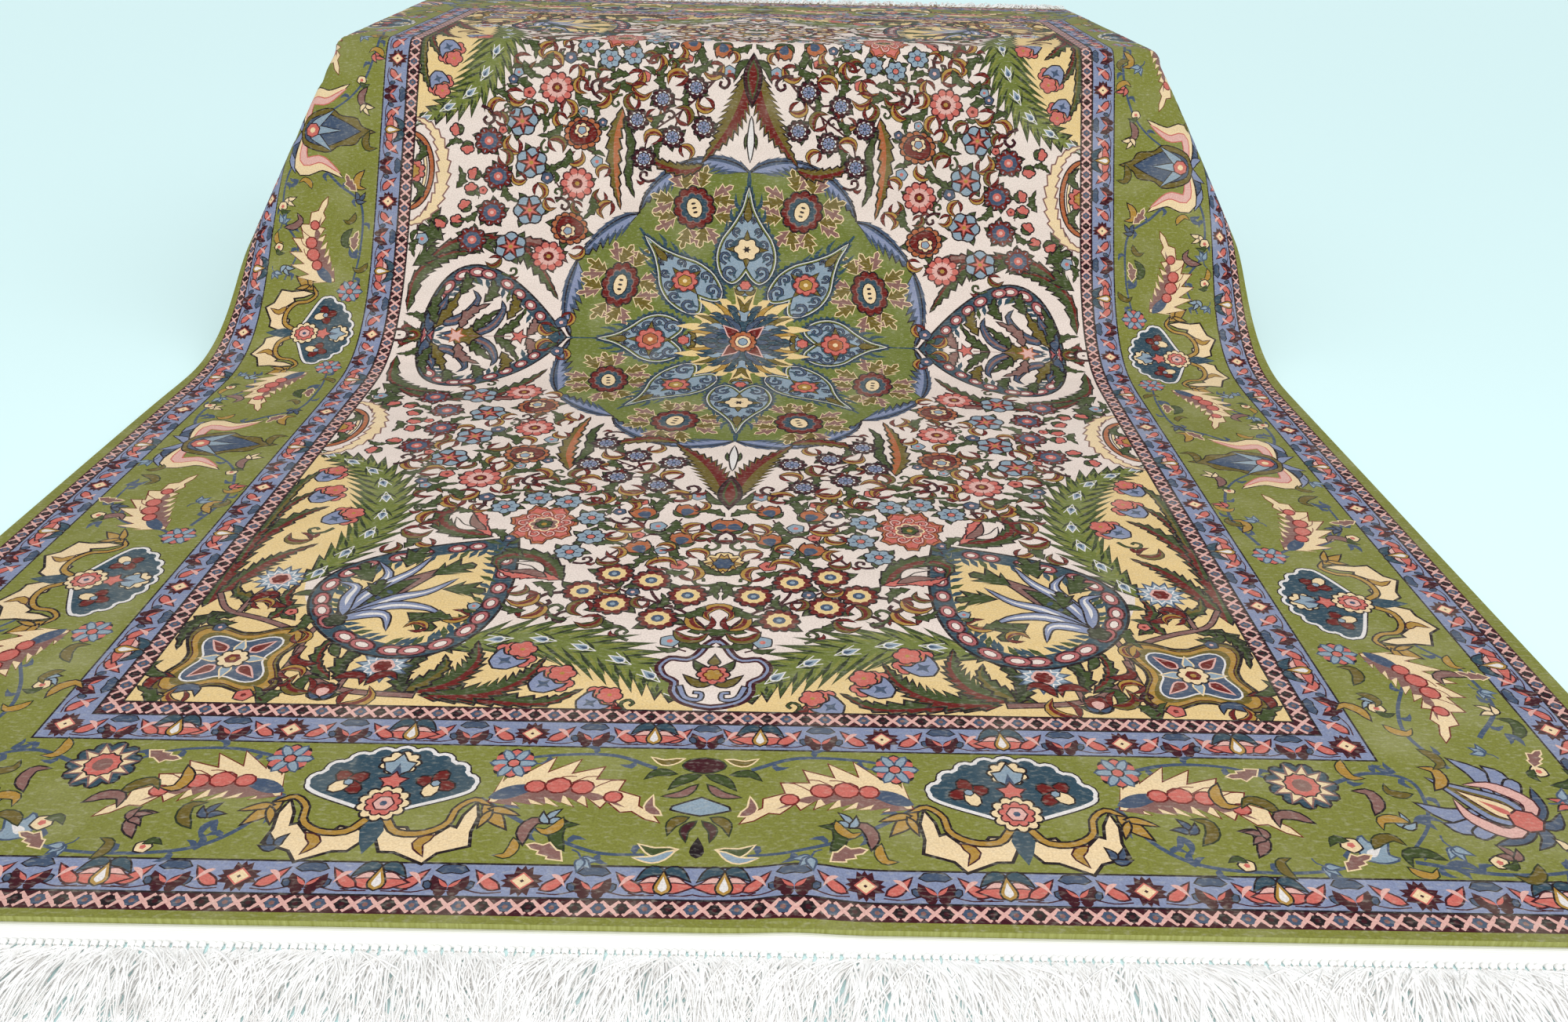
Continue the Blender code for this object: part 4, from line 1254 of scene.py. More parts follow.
def draw_lower_boteh(k):
    """Yellow pear-shaped figure in the lower corner, with a plant in it."""
    with k.at(0.293, 0.722, 0, 1.0):
        outline = turned(pear(0.312, 0.262, 0.050), 0.80)
        outline = outline - outline[0]
        beaded_band(k, outline, 0.027, "yellow", 1.0, 1)
        root = mm([(186, -222)])[0]
        k.leaf(mm([(186, -222), (160, -180), (118, -128), (76, -84)]), 14, 0.034, "mauve", "ink",
            0.0012)
        k.leaf(mm([(184, -218), (164, -180), (140, -146), (110, -118)]), 12, 0.042, "leaf", "ink",
            0.0012)
        for share in (0.3, 0.5, 0.7):
            x, y = mm([(176 - 56 * share, -205 + 76 * share)])[0]
            k.lay(oval(x, y, 0.006, 0.0035, 0.8, 7), "slate")
        for points in ([(186, -222), (168, -160), (150, -110), (172, -74)],
                       [(186, -222), (160, -150), (122, -100), (104, -56)],
                       [(180, -210), (186, -170), (184, -140), (210, -128)],
                       [(186, -222), (130, -170), (88, -150), (56, -114)],
                       [(186, -222), (130, -186), (84, -188), (54, -206)],
                       [(186, -222), (150, -206), (126, -210), (116, -244)]):
            blade(k, mm(points), 0.0165)
        for x, y, turn, size in ((128, -84, 0.1, 1.25), (88, -108, 0.9, 1.3), (66, -146, 1.5, 1.2),
                                 (100, -206, 2.2, 1.25), (166, -122, -0.6, 1.2),
                                 (150, -160, -0.2, 0.9)):
            jagged_leaf(k, x * 0.001, y * 0.001, turn, size)
        k.lay(scallops(5, 0.014, 0.25, steps=4) + root, "dark_green", "ink", 0.001)
        for x, y, radius in ((0.186, -0.20, 0.03), (0.15, -0.15, 0.05), (0.11, -0.11, 0.05),
                             (0.125, -0.075, 0.05), (0.19, -0.09, 0.04), (0.07, -0.15, 0.045),
                             (0.06, -0.08, 0.045), (0.13, -0.22, 0.04), (0.20, -0.15, 0.04)):
            k.take(x, y, radius)


def draw_side_boteh(k):
    """Ivory heart-shaped figure beside the medallion, with leaf arcs round it."""
    with k.at(0.0, HALF_LENGTH):
        outline = turned(pear(0.276, 0.326, 0.0), math.pi / 2) + [0.475, 0]
        beaded_band(k, outline, 0.027, "ivory", 1.0, 1)
        for points, width in (([(600, 0), (585, 40), (560, 34), (532, 52), (512, 88), (524, 108)],
                               0.020),
                              ([(575, 6), (520, 6), (480, 24), (462, 62), (466, 84)], 0.018),
                              ([(600, 10), (596, 50), (578, 74), (572, 98)], 0.020)):
            blade(k, down(mm(points)), width, "slate", "mauve")
        for number, points in enumerate((
                [(520, 10), (500, 34), (472, 62)], [(590, 20), (566, 60), (548, 106)],
                [(470, 4), (444, 22), (424, 56)], [(540, 20), (526, 56), (492, 76)],
                [(588, 30), (596, 70), (580, 116)], [(452, 44), (438, 72), (446, 100)],
                [(500, 84), (484, 104), (488, 132)], [(410, 6), (398, 22), (400, 44)],
                [(548, 100), (536, 122), (540, 146)])):
            frond(k, down(mm(points)), 0.023, 4, ("leaf", "olive", "leaf", "mauve")[number % 4],
                "ink", 0.55)
        k.lay(mirrored(curve(mm([(0, 34), (12, 18), (22, 16), (14, 4), (20, -10), (8, -14),
            (0, -24)]), 16))[:, ::-1] * [-1, 1] + [0.532, 0], "olive", "ink", 0.0012)
        k.lay(spikes(6, 0.017, 0.008) + [0.545, 0], "pink", "rust", 0.001)
        k.lay(spikes(5, 0.016, 0.007, phase=math.pi) + [0.425, 0], "coral", "maroon", 0.001)
        k.strap([(0.44, 0), (0.48, 0.001), (0.52, 0)], 6, 0.003, "mauve")
        two_tone(k, down(mm([(640, 120), (612, 178), (566, 214), (510, 224), (456, 214), (412, 182),
            (382, 134), (360, 92)])), 0.062, 15, "leaf", "red", (1.0, 0.34), 0.9, 0.5)
        two_tone(k, down(mm([(648, 60), (640, 130), (612, 168), (568, 190), (520, 194)])), 0.04, 9,
            "leaf", "red", (1.0, 0.35))
        two_tone(k, down(mm([(452, 216), (420, 218), (380, 204), (348, 176)])), 0.022, 6, "red",
            "mauve")
        for x, y, turn in ((0.612, -0.235, 0.2), (0.63, -0.20, -0.5), (0.596, -0.215, 0.9),
                           (0.645, -0.165, -0.9)):
            jagged_leaf(k, x, y, turn + math.pi, 1.25)
        for x, y in ((0.53, 0.02), (0.47, 0.04), (0.58, 0.05), (0.51, 0.08), (0.42, 0.05), (0.56, 0.1)):
            k.take(x, -y, 0.03)


def garland(k, points, width, teeth):
    """Feathery green garland with little buds along its middle."""
    line = curve(points, 8 * teeth)
    k.lay(frond_shape(line, width * 1.12, teeth, 0.58, 0.85, 0.85), "leaf", "ink", 0.0011)
    k.lay(frond_shape(line, width * 0.8, teeth, 0.56, 0.85, 0.85), "medallion")
    side = sides_of(line)
    for index in range(2, 2 * teeth - 1):
        i = int(index / (2 * teeth) * (len(line) - 1))
        along = np.array([side[i][1], -side[i][0]])
        out = width * 0.36 * math.sin(math.pi * (index / (2 * teeth)) ** 0.85)
        for way in (-1, 1):
            foot = line[i] + side[i] * way * out * 0.25
            tip = line[i] + side[i] * way * out + along * out * 0.9
            k.lay(leaf_shape(np.array([foot, (foot + tip) / 2, tip]), 0.0056), "dark_green" if index
                % 2 else "green")
    count = max(3, teeth // 2)
    for index in range(count):
        i = int((index + 0.6) / count * (len(line) - 1))
        x, y = line[i]
        with k.at(x, y, math.atan2(side[i][1], side[i][0])):
            for way in (-1, 1):
                k.leaf([(0, -0.01), (way * 0.008, 0.0), (way * 0.016, 0.016)], 5, 0.0042,
                    "dark_green")
                k.strap([(0, -0.012), (way * 0.005, 0.004), (way * 0.01, 0.02)], 5, 0.0014, "white")
            k.lay(drop(0.021, 0.011, 7), "pale_blue", "white", 0.0008)
            k.lay(drop(0.013, 0.0055, 6), "slate")
    for i in range(0, len(line), 4):
        k.take(line[i][0], line[i][1], width * 0.42)


LOWER_GARLAND = [(350, 446), (220, 466), (105, 418), (20, 334)]
SIDE_GARLAND = [(546, 590), (500, 760), (545, 915), (668, 1004)]


def draw_yellow_ground(k):
    edge = curve(mm(LOWER_GARLAND[::-1] + [(450, 445)] + SIDE_GARLAND), 60)
    corner = [(0.672, 0.30), (0.018, 0.30)]
    k.lay(np.vstack([edge, corner]), "yellow")


def draw_garlands(k):
    garland(k, mm(LOWER_GARLAND), 0.1, 15)
    garland(k, mm(SIDE_GARLAND), 0.1, 19)


def coral_cup(k, turn, x, y, size=1.0):
    """Coral flower with a lavender calyx."""
    with k.at(x, y, turn, size):
        for dx, dy in ((-0.012, 0.012), (0.010, 0.016), (0.0, 0.026)):
            k.lay(scallops(5, 0.015, 0.25, steps=4) + [dx, dy], "coral", "ink", 0.0009)
            k.lay(oval(dx, dy, 0.003, count=5), "gold")
        k.twin([(0, 0.01), (0.01, 0.008), (0.018, 0.014), (0.013, -0.008), (0, -0.016)], 10,
            "lavender", "ink", 0.0011)
        k.lay(spikes(4, 0.01, 0.004), "slate")
        k.take(0, 0.008, 0.03)


def blue_sunburst(k, x, y, radius=0.030):
    with k.at(x, y):
        k.lay(spikes(13, radius, radius * 0.66, phase=0.2), "pale_blue", "slate", 0.001)
        k.lay(spikes(11, radius * 0.72, radius * 0.5, phase=0.5), "pale_blue", "white", 0.0008)
        k.petals(6, radius * 0.38, 0.18, 4, "red", "pink", 0.0014)
        k.take(0, 0, radius * 1.1)


def quatrefoil(k):
    """Gold-rimmed four-lobed palmette."""
    a = np.linspace(math.pi / 2, 0, 16)
    reach = 0.054 + 0.038 * np.sin(2 * a) ** 3
    lobe = np.stack([reach * np.cos(a), reach * np.sin(a)], axis=1)
    shape = np.vstack([turned(lobe[:-1], -index * math.pi / 2) for index in range(4)])
    k.lay(shape, "olive", "ink", 0.0016)
    k.lay(shape * 0.92, "gold", "maroon", 0.0007)
    k.lay(shape * 0.8, "olive")
    k.lay(shape * 0.66, "slate", "white", 0.001)
    for index in range(4):
        with k.at(0, 0, index * math.pi / 2 + math.pi / 4):
            k.lay(drop(0.03, 0.013, 8) + [0, 0.022], "red", "pink", 0.001)
        with k.at(0, 0, index * math.pi / 2):
            k.lay(drop(0.022, 0.011, 8) + [0, 0.016], "pale_blue", "cream", 0.0009)
    k.petals(8, 0.018, 0.2, 4, "cream", "ink", 0.001)
    k.petals(6, 0.01, 0.2, 3, "red", "cream", 0.0008)
    k.lay(oval(0, 0, 0.004, count=6), "gold")
    k.take(0, 0, 0.075)


# Points in millimetres, width, teeth, dyes and the width of each side
CORNER_LEAVES = (
    ([(330, 342), (260, 338), (190, 334), (150, 362)], 0.036, 10, "leaf", "red", (1, 0.5)),
    ([(325, 345), (262, 350), (222, 380), (203, 424)], 0.044, 11, "leaf", "red", (1, 0.6)),
    ([(345, 350), (304, 372), (284, 412), (290, 456)], 0.046, 11, "leaf", "red", (1, 0.6)),
    ([(372, 350), (340, 366), (318, 400), (322, 424)], 0.026, 7, "leaf", "olive", (1, 0.8)),
    ([(352, 352), (366, 380), (352, 420), (330, 446)], 0.024, 7, "leaf", "dark_green", (0.8, 1)),
    ([(430, 372), (440, 404), (424, 436), (404, 452)], 0.024, 7, "leaf", "dark_green", (1, 0.6)),
    ([(446, 376), (468, 400), (474, 436), (462, 470)], 0.020, 7, "leaf", "red", (1, 0.6)),
    ([(650, 530), (656, 620), (650, 700), (618, 776), (588, 806)], 0.050, 13, "leaf", "red",
     (1, 0.6)),
    ([(652, 640), (656, 730), (644, 810), (618, 860)], 0.036, 11, "leaf", "red", (1, 0.5)),
    ([(654, 730), (654, 810), (648, 890), (628, 936)], 0.028, 10, "leaf", "olive", (1, 0.4)),
    ([(646, 560), (626, 620), (604, 660), (566, 694)], 0.036, 10, "leaf", "red", (0.6, 1)),
    ([(600, 512), (640, 500), (652, 470), (646, 430)], 0.022, 7, "leaf", "dark_green", (1, 1)),
    ([(560, 500), (550, 530), (560, 556), (552, 590)], 0.020, 6, "leaf", "red", (1, 1)),
    ([(596, 520), (604, 550), (624, 560), (632, 590)], 0.020, 6, "leaf", "olive", (1, 1)),
)
CORNER_STEMS = (
    ([(340, 344), (420, 352), (470, 380), (500, 420), (500, 470)], 0.0060),
    ([(500, 470), (492, 500), (488, 520)], 0.0048),
    ([(505, 460), (530, 480), (570, 500), (620, 520), (646, 560)], 0.0056),
    ([(498, 440), (505, 380), (515, 345), (540, 336)], 0.0048),
    ([(430, 356), (424, 384), (400, 396)], 0.0040),
    ([(604, 516), (600, 550), (588, 580)], 0.0040),
)


def draw_corner(k):
    """Yellow corner: palmette, big serrated leaves, stems and flowers."""
    for points, width, teeth, dye, second, sides in CORNER_LEAVES:
        two_tone(k, mm(points), width, teeth, dye, second, sides, 0.62, 0.55)
    for points, width in CORNER_STEMS:
        line = curve(mm(points), 4 * len(points))
        k.lay(ribbon(line, width * 1.3, width), "mauve", "ink", 0.0008)
    with k.at(0.572, 0.412):
        quatrefoil(k)
    blue_sunburst(k, 0.391, 0.402)
    blue_sunburst(k, 0.582, 0.598)
    for x, y, turn, size in ((0.250, 0.418, 0.6, 1.15), (0.196, 0.372, 0.7, 1.1),
                             (0.137, 0.336, 0.9, 1.0), (0.607, 0.836, 0.5, 1.1),
                             (0.566, 0.770, 0.9, 1.1), (0.622, 0.905, 0.4, 1.0)):
        coral_cup(k, turn, x, y, size)
    for x, y, turn, dye in ((0.45, 0.42, 0.4, "leaf"), (0.44, 0.375, 2.0, "red"),
                            (0.47, 0.345, 0.6, "leaf"), (0.53, 0.50, 0.2, "leaf"),
                            (0.60, 0.54, 1.4, "red"), (0.60, 0.49, -0.8, "leaf"),
                            (0.55, 0.56, 2.2, "leaf"), (0.645, 0.345, 0.8, "red"),
                            (0.635, 0.375, -0.4, "leaf"), (0.62, 0.34, 1.8, "slate"),
                            (0.40, 0.365, 1.4, "red"), (0.47, 0.405, -0.7, "red"),
                            (0.55, 0.53, -0.4, "red"), (0.425, 0.345, -1.0, "leaf")):
        with k.at(x, y, turn):
            comma(k, 0.034, 0.012, dye)
    with k.at(0.445, 0.338, 0.0):
        tulip(k, 0.014, "red", "pink", "slate")


def peony(k):
    """Big ragged coral peony."""
    a = np.linspace(0, 2 * math.pi, 44, endpoint=False)
    r = 0.047 * (1 + 0.13 * np.sin(7 * a) + np.where(np.arange(44) % 2 == 0, 0.05, -0.05))
    ragged = np.stack([r * np.cos(a) * 0.95, r * np.sin(a) * 1.12], axis=1)
    k.lay(ragged, "rust", "ink", 0.0009)
    k.lay(ragged * 0.88, "coral", "red", 0.0007)
    for index in range(9):
        turn = index * 2 * math.pi / 9
        with k.at(0, 0, turn, 1.0):
            k.leaf(mm([(-10, 20), (-9, 32), (-3, 44)]), 5, 0.006, "rust")
            k.strap(mm([(-8, 25), (-3, 37), (6, 36), (8, 28), (2, 24), (-1, 28)]), 11, 0.0026,
                "pink", "red", 0.0006)
    k.petals(7, 0.02, 0.25, 4, "mauve", "cream", 0.001)
    k.petals(5, 0.012, 0.25, 4, "leaf", "ink", 0.0008)
    k.lay(oval(0, 0, 0.0045, count=6), "gold")
    k.take(0, 0, 0.056)


def calyx_leaves(k, radius, count, dye="leaf", phase=0.3):
    """Pointed leaves behind a flower."""
    for index in range(count):
        turn = phase + index * 2 * math.pi / count
        k.lay(turned(leaf_shape(curve([(0, radius * 0.7), (0.002, radius * 1.1),
            (0.0, radius * 1.55)], 6), radius * 0.55), turn), dye, "ink", 0.0009)


def curled_leaf(k, flip=1):
    """Curled serrated leaf beside the peony."""
    with k.at(0, 0, 0, 1.0, flip):
        body = curve(mm([(-44, -26), (-10, -26), (26, -12), (46, 14), (38, 42), (10, 44)]), 26)
        k.lay(frond_shape(body, 0.034, 10, 0.35, 0.6, 0.7, (0.9, 1.0)), "leaf", "ink", 0.0012)
        k.lay(frond_shape(body + [0.001, 0.001], 0.02, 10, 0.45, 0.6, 0.7, (0.2, 1.0)), "red")
        k.lay(frond_shape(curve(mm([(-44, -24), (-22, 0), (-14, 28), (10, 46)]), 18), 0.022, 7, 0.4,
            0.6, 0.7, (1.0, 0.7)), "coral", "maroon", 0.001)
        k.leaf(mm([(-30, -10), (-10, 6), (2, 34)]), 10, 0.013, "mauve", "ink", 0.0009)
        k.leaf(mm([(-16, -10), (8, -4), (22, 20)]), 10, 0.012, "ivory", "ink", 0.0009)
        k.take(0, 0, 0.045)


YELLOW_ROSETTES = [(94, 612), (145, 628), (43, 575), (181, 581), (138, 551), (77, 518)]
BLUE_STARS = [(239, 837), (285, 847), (329, 817), (198, 787), (191, 730), (214, 685)]
TULIPS = [(65, 810, 0.3), (116, 799, -0.4), (22, 769, 0.9), (65, 722, 0.2), (112, 697, -0.5)]
DARK_ROSETTES = [(210, 1050), (155, 1003), (94, 980), (226, 970), (177, 925), (112, 899)]
STAR_FLOWERS = [(460, 1245), (428, 1166), (430, 1068), (452, 984)]
RIMMED_FLOWERS = [(536, 1233), (501, 1174), (493, 1099), (515, 1027)]
PINK_FLOWERS = [(385, 1264), (338, 1107), (387, 912)]
RUST_PALMETTES = [(348, 1202, 2.6), (332, 1003, 0.3)]
PINK_BUDS = [(568, 1194), (599, 1198), (554, 1162), (544, 1127), (540, 1096), (556, 1043),
             (579, 1007)]


# Widths at the foot and at the flower, and the stems in millimetres
FLOWER_STEMS = (
    (0.0060, 0.0034, ([(0, 470), (40, 530), (90, 560), (150, 600), (160, 620)],
                      [(50, 540), (44, 560), (43, 575)], [(60, 548), (110, 545), (138, 551)],
                      [(90, 560), (140, 566), (181, 581)], [(20, 500), (50, 505), (77, 518)],
                      [(75, 552), (90, 580), (94, 612)])),
    (0.0048, 0.0028, ([(170, 660), (150, 690), (120, 730), (80, 760), (66, 790)],
                      [(150, 690), (130, 720), (122, 760), (116, 790)],
                      [(110, 740), (70, 735), (60, 722)], [(90, 755), (50, 752), (26, 765)],
                      [(150, 690), (130, 695), (112, 697)])),
    (0.0050, 0.0030, ([(60, 860), (90, 900), (140, 950), (200, 1000), (210, 1050)],
                      [(100, 912), (108, 945), (94, 980)], [(140, 950), (150, 980), (155, 1003)],
                      [(120, 930), (150, 925), (177, 925)], [(170, 975), (200, 968), (226, 970)],
                      [(80, 886), (96, 890), (112, 899)])),
)


def draw_flowers(k):
    """Free flowers of the ivory field, on their stems."""
    for width, end, stems in FLOWER_STEMS:
        for points in stems:
            line = curve(mm(points), max(6, 3 * len(points)))
            k.lay(ribbon(line, width, end), "maroon")
    for x, y in YELLOW_ROSETTES:
        with k.at(x * 0.001, y * 0.001, x):
            calyx_leaves(k, 0.0235, 3)
            rosette(k, 0.0255, "red", "yellow", "slate", 11, centre="pale_blue")
    for x, y in BLUE_STARS:
        with k.at(x * 0.001, y * 0.001, y):
            calyx_leaves(k, 0.0185, 5)
            k.petals(7, 0.0205, 0.32, 5, "pale_blue", "ink", 0.0011)
            petal_marks(k, 7, 0.006, 0.015, "slate", 0.003)
            k.lay(oval(0, 0, 0.0055, count=7), "coral", "ink", 0.0008)
            k.take(0, 0, 0.026)
    for x, y, turn in TULIPS:
        with k.at(x * 0.001, y * 0.001 - 0.012, turn):
            tulip(k, 0.0185, "rust", "slate")
    for x, y in DARK_ROSETTES:
        with k.at(x * 0.001, y * 0.001):
            calyx_leaves(k, 0.018, 3, "leaf", x)
            k.petals(9, 0.0225, 0.3, 4, "maroon", "ink", 0.0012)
            k.petals(9, 0.016, 0.3, 4, "white", "maroon", 0.0008, phase=0.35)
            k.petals(8, 0.012, 0.25, 3, "lavender", "ink", 0.0008)
            petal_marks(k, 8, 0.004, 0.011, "maroon", 0.0026)
            k.lay(oval(0, 0, 0.004, count=6), "slate")
            k.take(0, 0, 0.025)
    for x, y in STAR_FLOWERS:
        with k.at(x * 0.001, y * 0.001, x * 0.7):
            calyx_leaves(k, 0.0255, 3, "leaf", y)
            k.petals(6, 0.03, 0.24, 5, "pale_blue", "ink", 0.0013)
            petal_marks(k, 6, 0.01, 0.0255, "maroon", 0.0046)
            k.lay(spikes(6, 0.0265, 0.0095, phase=math.pi / 6), "red", "ink", 0.0009)
            k.lay(spikes(6, 0.018, 0.006, phase=math.pi / 6), "coral")
            k.lay(oval(0, 0, 0.0045, count=6), "gold")
            k.take(0, 0, 0.033)
    for x, y in RIMMED_FLOWERS:
        with k.at(x * 0.001, y * 0.001, y):
            calyx_leaves(k, 0.021, 5)
            rosette(k, 0.027, "red", "slate", "coral", 8, centre="pink")
            petal_marks(k, 8, 0.019, 0.0262, "pale_blue", 0.003, math.pi / 8)
    for x, y in PINK_FLOWERS:
        with k.at(x * 0.001, y * 0.001):
            calyx_leaves(k, 0.0235, 4)
            rosette(k, 0.032, "coral", "pink", "red", 10, "maroon", centre="gold")
            petal_marks(k, 10, 0.015, 0.029, "red", 0.003)
    for x, y, turn in RUST_PALMETTES:
        with k.at(x * 0.001, y * 0.001, turn):
            rust_palmette(k)
    for x, y in PINK_BUDS:
        with k.at(x * 0.001, y * 0.001, x * 1.3):
            k.petals(5, 0.0125, 0.25, 4, "coral", "ink", 0.0011)
            k.leaf([(-0.01, -0.004), (0, -0.01), (0.01, -0.004)], 5, 0.008, "leaf", "ink", 0.0008)
            k.take(0, 0, 0.015)


def rust_palmette(k):
    calyx_leaves(k, 0.03, 4)
    k.lay(scallops(13, 0.036, 0.14, steps=4) * [1.0, 0.92], "rust", "ink", 0.0012)
    petal_marks(k, 13, 0.024, 0.032, "maroon", 0.003)
    k.twin(mm([(0, 22), (16, 20), (26, 8), (22, -12), (10, -22), (0, -26)]), 14, "red", "ink",
        0.001)
    k.lay(scallops(6, 0.015, 0.3, steps=4) + [0, -0.006], "cream", "ink", 0.0009)
    k.lay(scallops(5, 0.008, 0.3, steps=3) + [0, -0.006], "pale_blue", "red", 0.0008)
    k.take(0, 0, 0.04)


def draw_pendant(k):
    """Leaves and lily that hang below the medallion on the middle line."""
    for side in (-1, 1):
        two_tone(k, mm([(side * 8, 862), (side * 24, 926), (side * 50, 986), (side * 94, 1052)]),
            0.052, 13, "olive", "red", (1.0, 1.0))
        two_tone(k, mm([(side * 94, 1060), (side * 130, 1070), (side * 180, 1058),
            (side * 216, 1028)]), 0.026, 9, "olive", "red")
        k.leaf(mm([(side * 4, 838), (side * 26, 850), (side * 38, 884)]), 8, 0.013, "leaf", "ink",
            0.001)
        k.leaf(mm([(side * 1, 985), (side * 9, 1000), (side * 11, 1022)]), 7, 0.006, "leaf", "ink",
            0.0009)
    k.twin(mm([(0, 1048), (4, 1026), (6, 1004), (3, 970), (0, 956)]), 12, "white", "ink", 0.0011)
    k.twin(mm([(0, 930), (13, 900), (17, 866), (9, 842), (0, 824)]), 12, "maroon", "ink", 0.0012)
    k.twin(mm([(0, 915), (6, 890), (8, 864), (0, 842)]), 9, "red", "leaf", 0.0014)
    for x, y, radius in ((0.0, 0.85, 0.03), (0.0, 0.89, 0.03), (0.015, 0.95, 0.045),
                         (0.03, 1.0, 0.055), (0.10, 1.09, 0.035), (0.16, 1.09, 0.03)):
        k.take(x, y, radius)
    with k.at(0.255, 1.06):
        two_tone(k, mm([(0, -110), (14, -50), (10, 30), (-4, 96)]), 0.03, 9, "olive", "rust",
            (1.0, 1.0))
        frond(k, mm([(-6, -90), (-20, -30), (-16, 30), (-30, 70)]), 0.018, 6, "leaf")
        k.take(0, 0, 0.03)
        k.take(0, -0.06, 0.03)
        k.take(0, 0.06, 0.03)
    k.take(0.02, 0.94, 0.045)
    k.take(0.05, 1.0, 0.04)


def draw_cartouche(k):
    """Ivory cartouche in the middle of the lower end of the field."""
    outline = mirrored(curve(mm([(0, 474), (12, 460), (22, 438), (34, 428), (54, 430), (66, 412),
                                 (60, 392), (46, 380), (46, 362), (36, 344), (18, 334), (0, 330)]),
                             34))
    k.lay(outline, "lavender", "maroon", 0.002)
    k.lay(grown(outline, -0.007), "ivory", "maroon", 0.0014)
    for side in (-1, 1):
        k.strap(mm([(side * 38, 372), (side * 30, 350), (side * 14, 346), (side * 12, 358),
            (side * 20, 360)]), 14, 0.0056, "lavender", "ink", 0.0009, end=0.0034)
        k.leaf(mm([(0, 380), (side * 18, 378), (side * 34, 394)]), 8, 0.013, "olive", "ink", 0.001)
        k.leaf(mm([(0, 398), (side * 16, 410), (side * 24, 424)]), 8, 0.012, "leaf", "ink", 0.001)
    k.lay(scallops(8, 0.019, 0.25, steps=4) + [0, 0.396], "coral", "ink", 0.001)
    k.lay(scallops(6, 0.011, 0.25, steps=4) + [0, 0.396], "gold", "red", 0.0009)
    k.lay(drop(0.02, 0.013, 8) + [0, 0.416], "olive", "ink", 0.001)
    k.take(0, 0.39, 0.06)


def draw_middle_palmette(k):
    with k.at(0, 0.660):
        k.petals(9, 0.03, 0.22, 4, "yellow", "ink", 0.0012)
        k.lay(spikes(9, 0.024, 0.014), "gold", "maroon", 0.0008)
        k.petals(6, 0.014, 0.22, 4, "slate", "ink", 0.0008)
        k.take(0, 0, 0.034)
    for side in (-1, 1):
        k.lay(frond_shape(curve(mm([(0, 630), (side * 20, 640), (side * 34, 668)]), 10), 0.014, 4),
            "leaf", "ink", 0.001)


def draw_side_scroll(k):
    """Cream scroll half palmette at the side of the field."""
    with k.at(0.660, 1.095):
        a = np.linspace(math.pi / 2, 3 * math.pi / 2, 30)
        outer = np.stack([0.006 + 0.066 * np.cos(a), 0.108 * np.sin(a)], axis=1)
        k.lay(frond_shape(outer, 0.026, 14, 0.5, 0.7, 0.9), "cream", "mauve", 0.0012)
        inner = np.stack([0.006 + 0.043 * np.cos(a), 0.076 * np.sin(a)], axis=1)
        k.lay(ribbon(inner, 0.007, 0.007), "rust", "ink", 0.0011)
        k.lay(ribbon(inner + [0.012, 0], 0.004), "cream", "ink", 0.0008)
        k.lay(scallops(9, 0.024, 0.25, steps=4) + [0, 0.0], "coral", "ink", 0.0011)
        k.petals(7, 0.013, 0.25, 4, "gold", "red", 0.0009)
        for way in (-1, 1):
            k.lay(frond_shape(curve(mm([(-4, way * 22), (-20, way * 40), (-6, way * 62)]), 10),
                0.016, 4), "leaf", "ink", 0.001)
        k.take(-0.02, 0, 0.06)
        k.take(-0.02, 0.06, 0.05)
        k.take(-0.02, -0.06, 0.05)


FILL_STEP = 0.0285
FILL_RADIUS = 0.0110


def fill_field(k):
    """Small curled leaves, curls and buds wherever the ivory or yellow ground is still free."""
    rng = np.random.default_rng(5)
    taken = np.array(k.taken)
    count = 0
    rows = int((HALF_LENGTH - END_BANDS[-1]) / (FILL_STEP * 0.87))
    for j in range(rows + 1):
        for i in range(int((HALF_WIDTH - SIDE_BANDS[-1]) / FILL_STEP) + 1):
            x = (i + 0.5 * (j % 2) + 0.3 + rng.uniform(-0.2, 0.2)) * FILL_STEP
            y = END_BANDS[-1] + (j + 0.55 + rng.uniform(-0.2, 0.2)) * FILL_STEP * 0.87
            if x > HALF_WIDTH - SIDE_BANDS[-1] - 0.008 or y > HALF_LENGTH:
                continue
            gap = np.hypot(taken[:, 0] - x, taken[:, 1] - y) - taken[:, 2]
            if gap.min() < FILL_RADIUS * 0.55:
                continue
            count += 1
            turn = rng.uniform(0, 2 * math.pi)
            size = min(1.35, 0.60 + 0.45 * gap.min() / FILL_RADIUS)
            with k.at(x, y, turn, size, 1 if count % 2 else -1):
                filler(k, count)


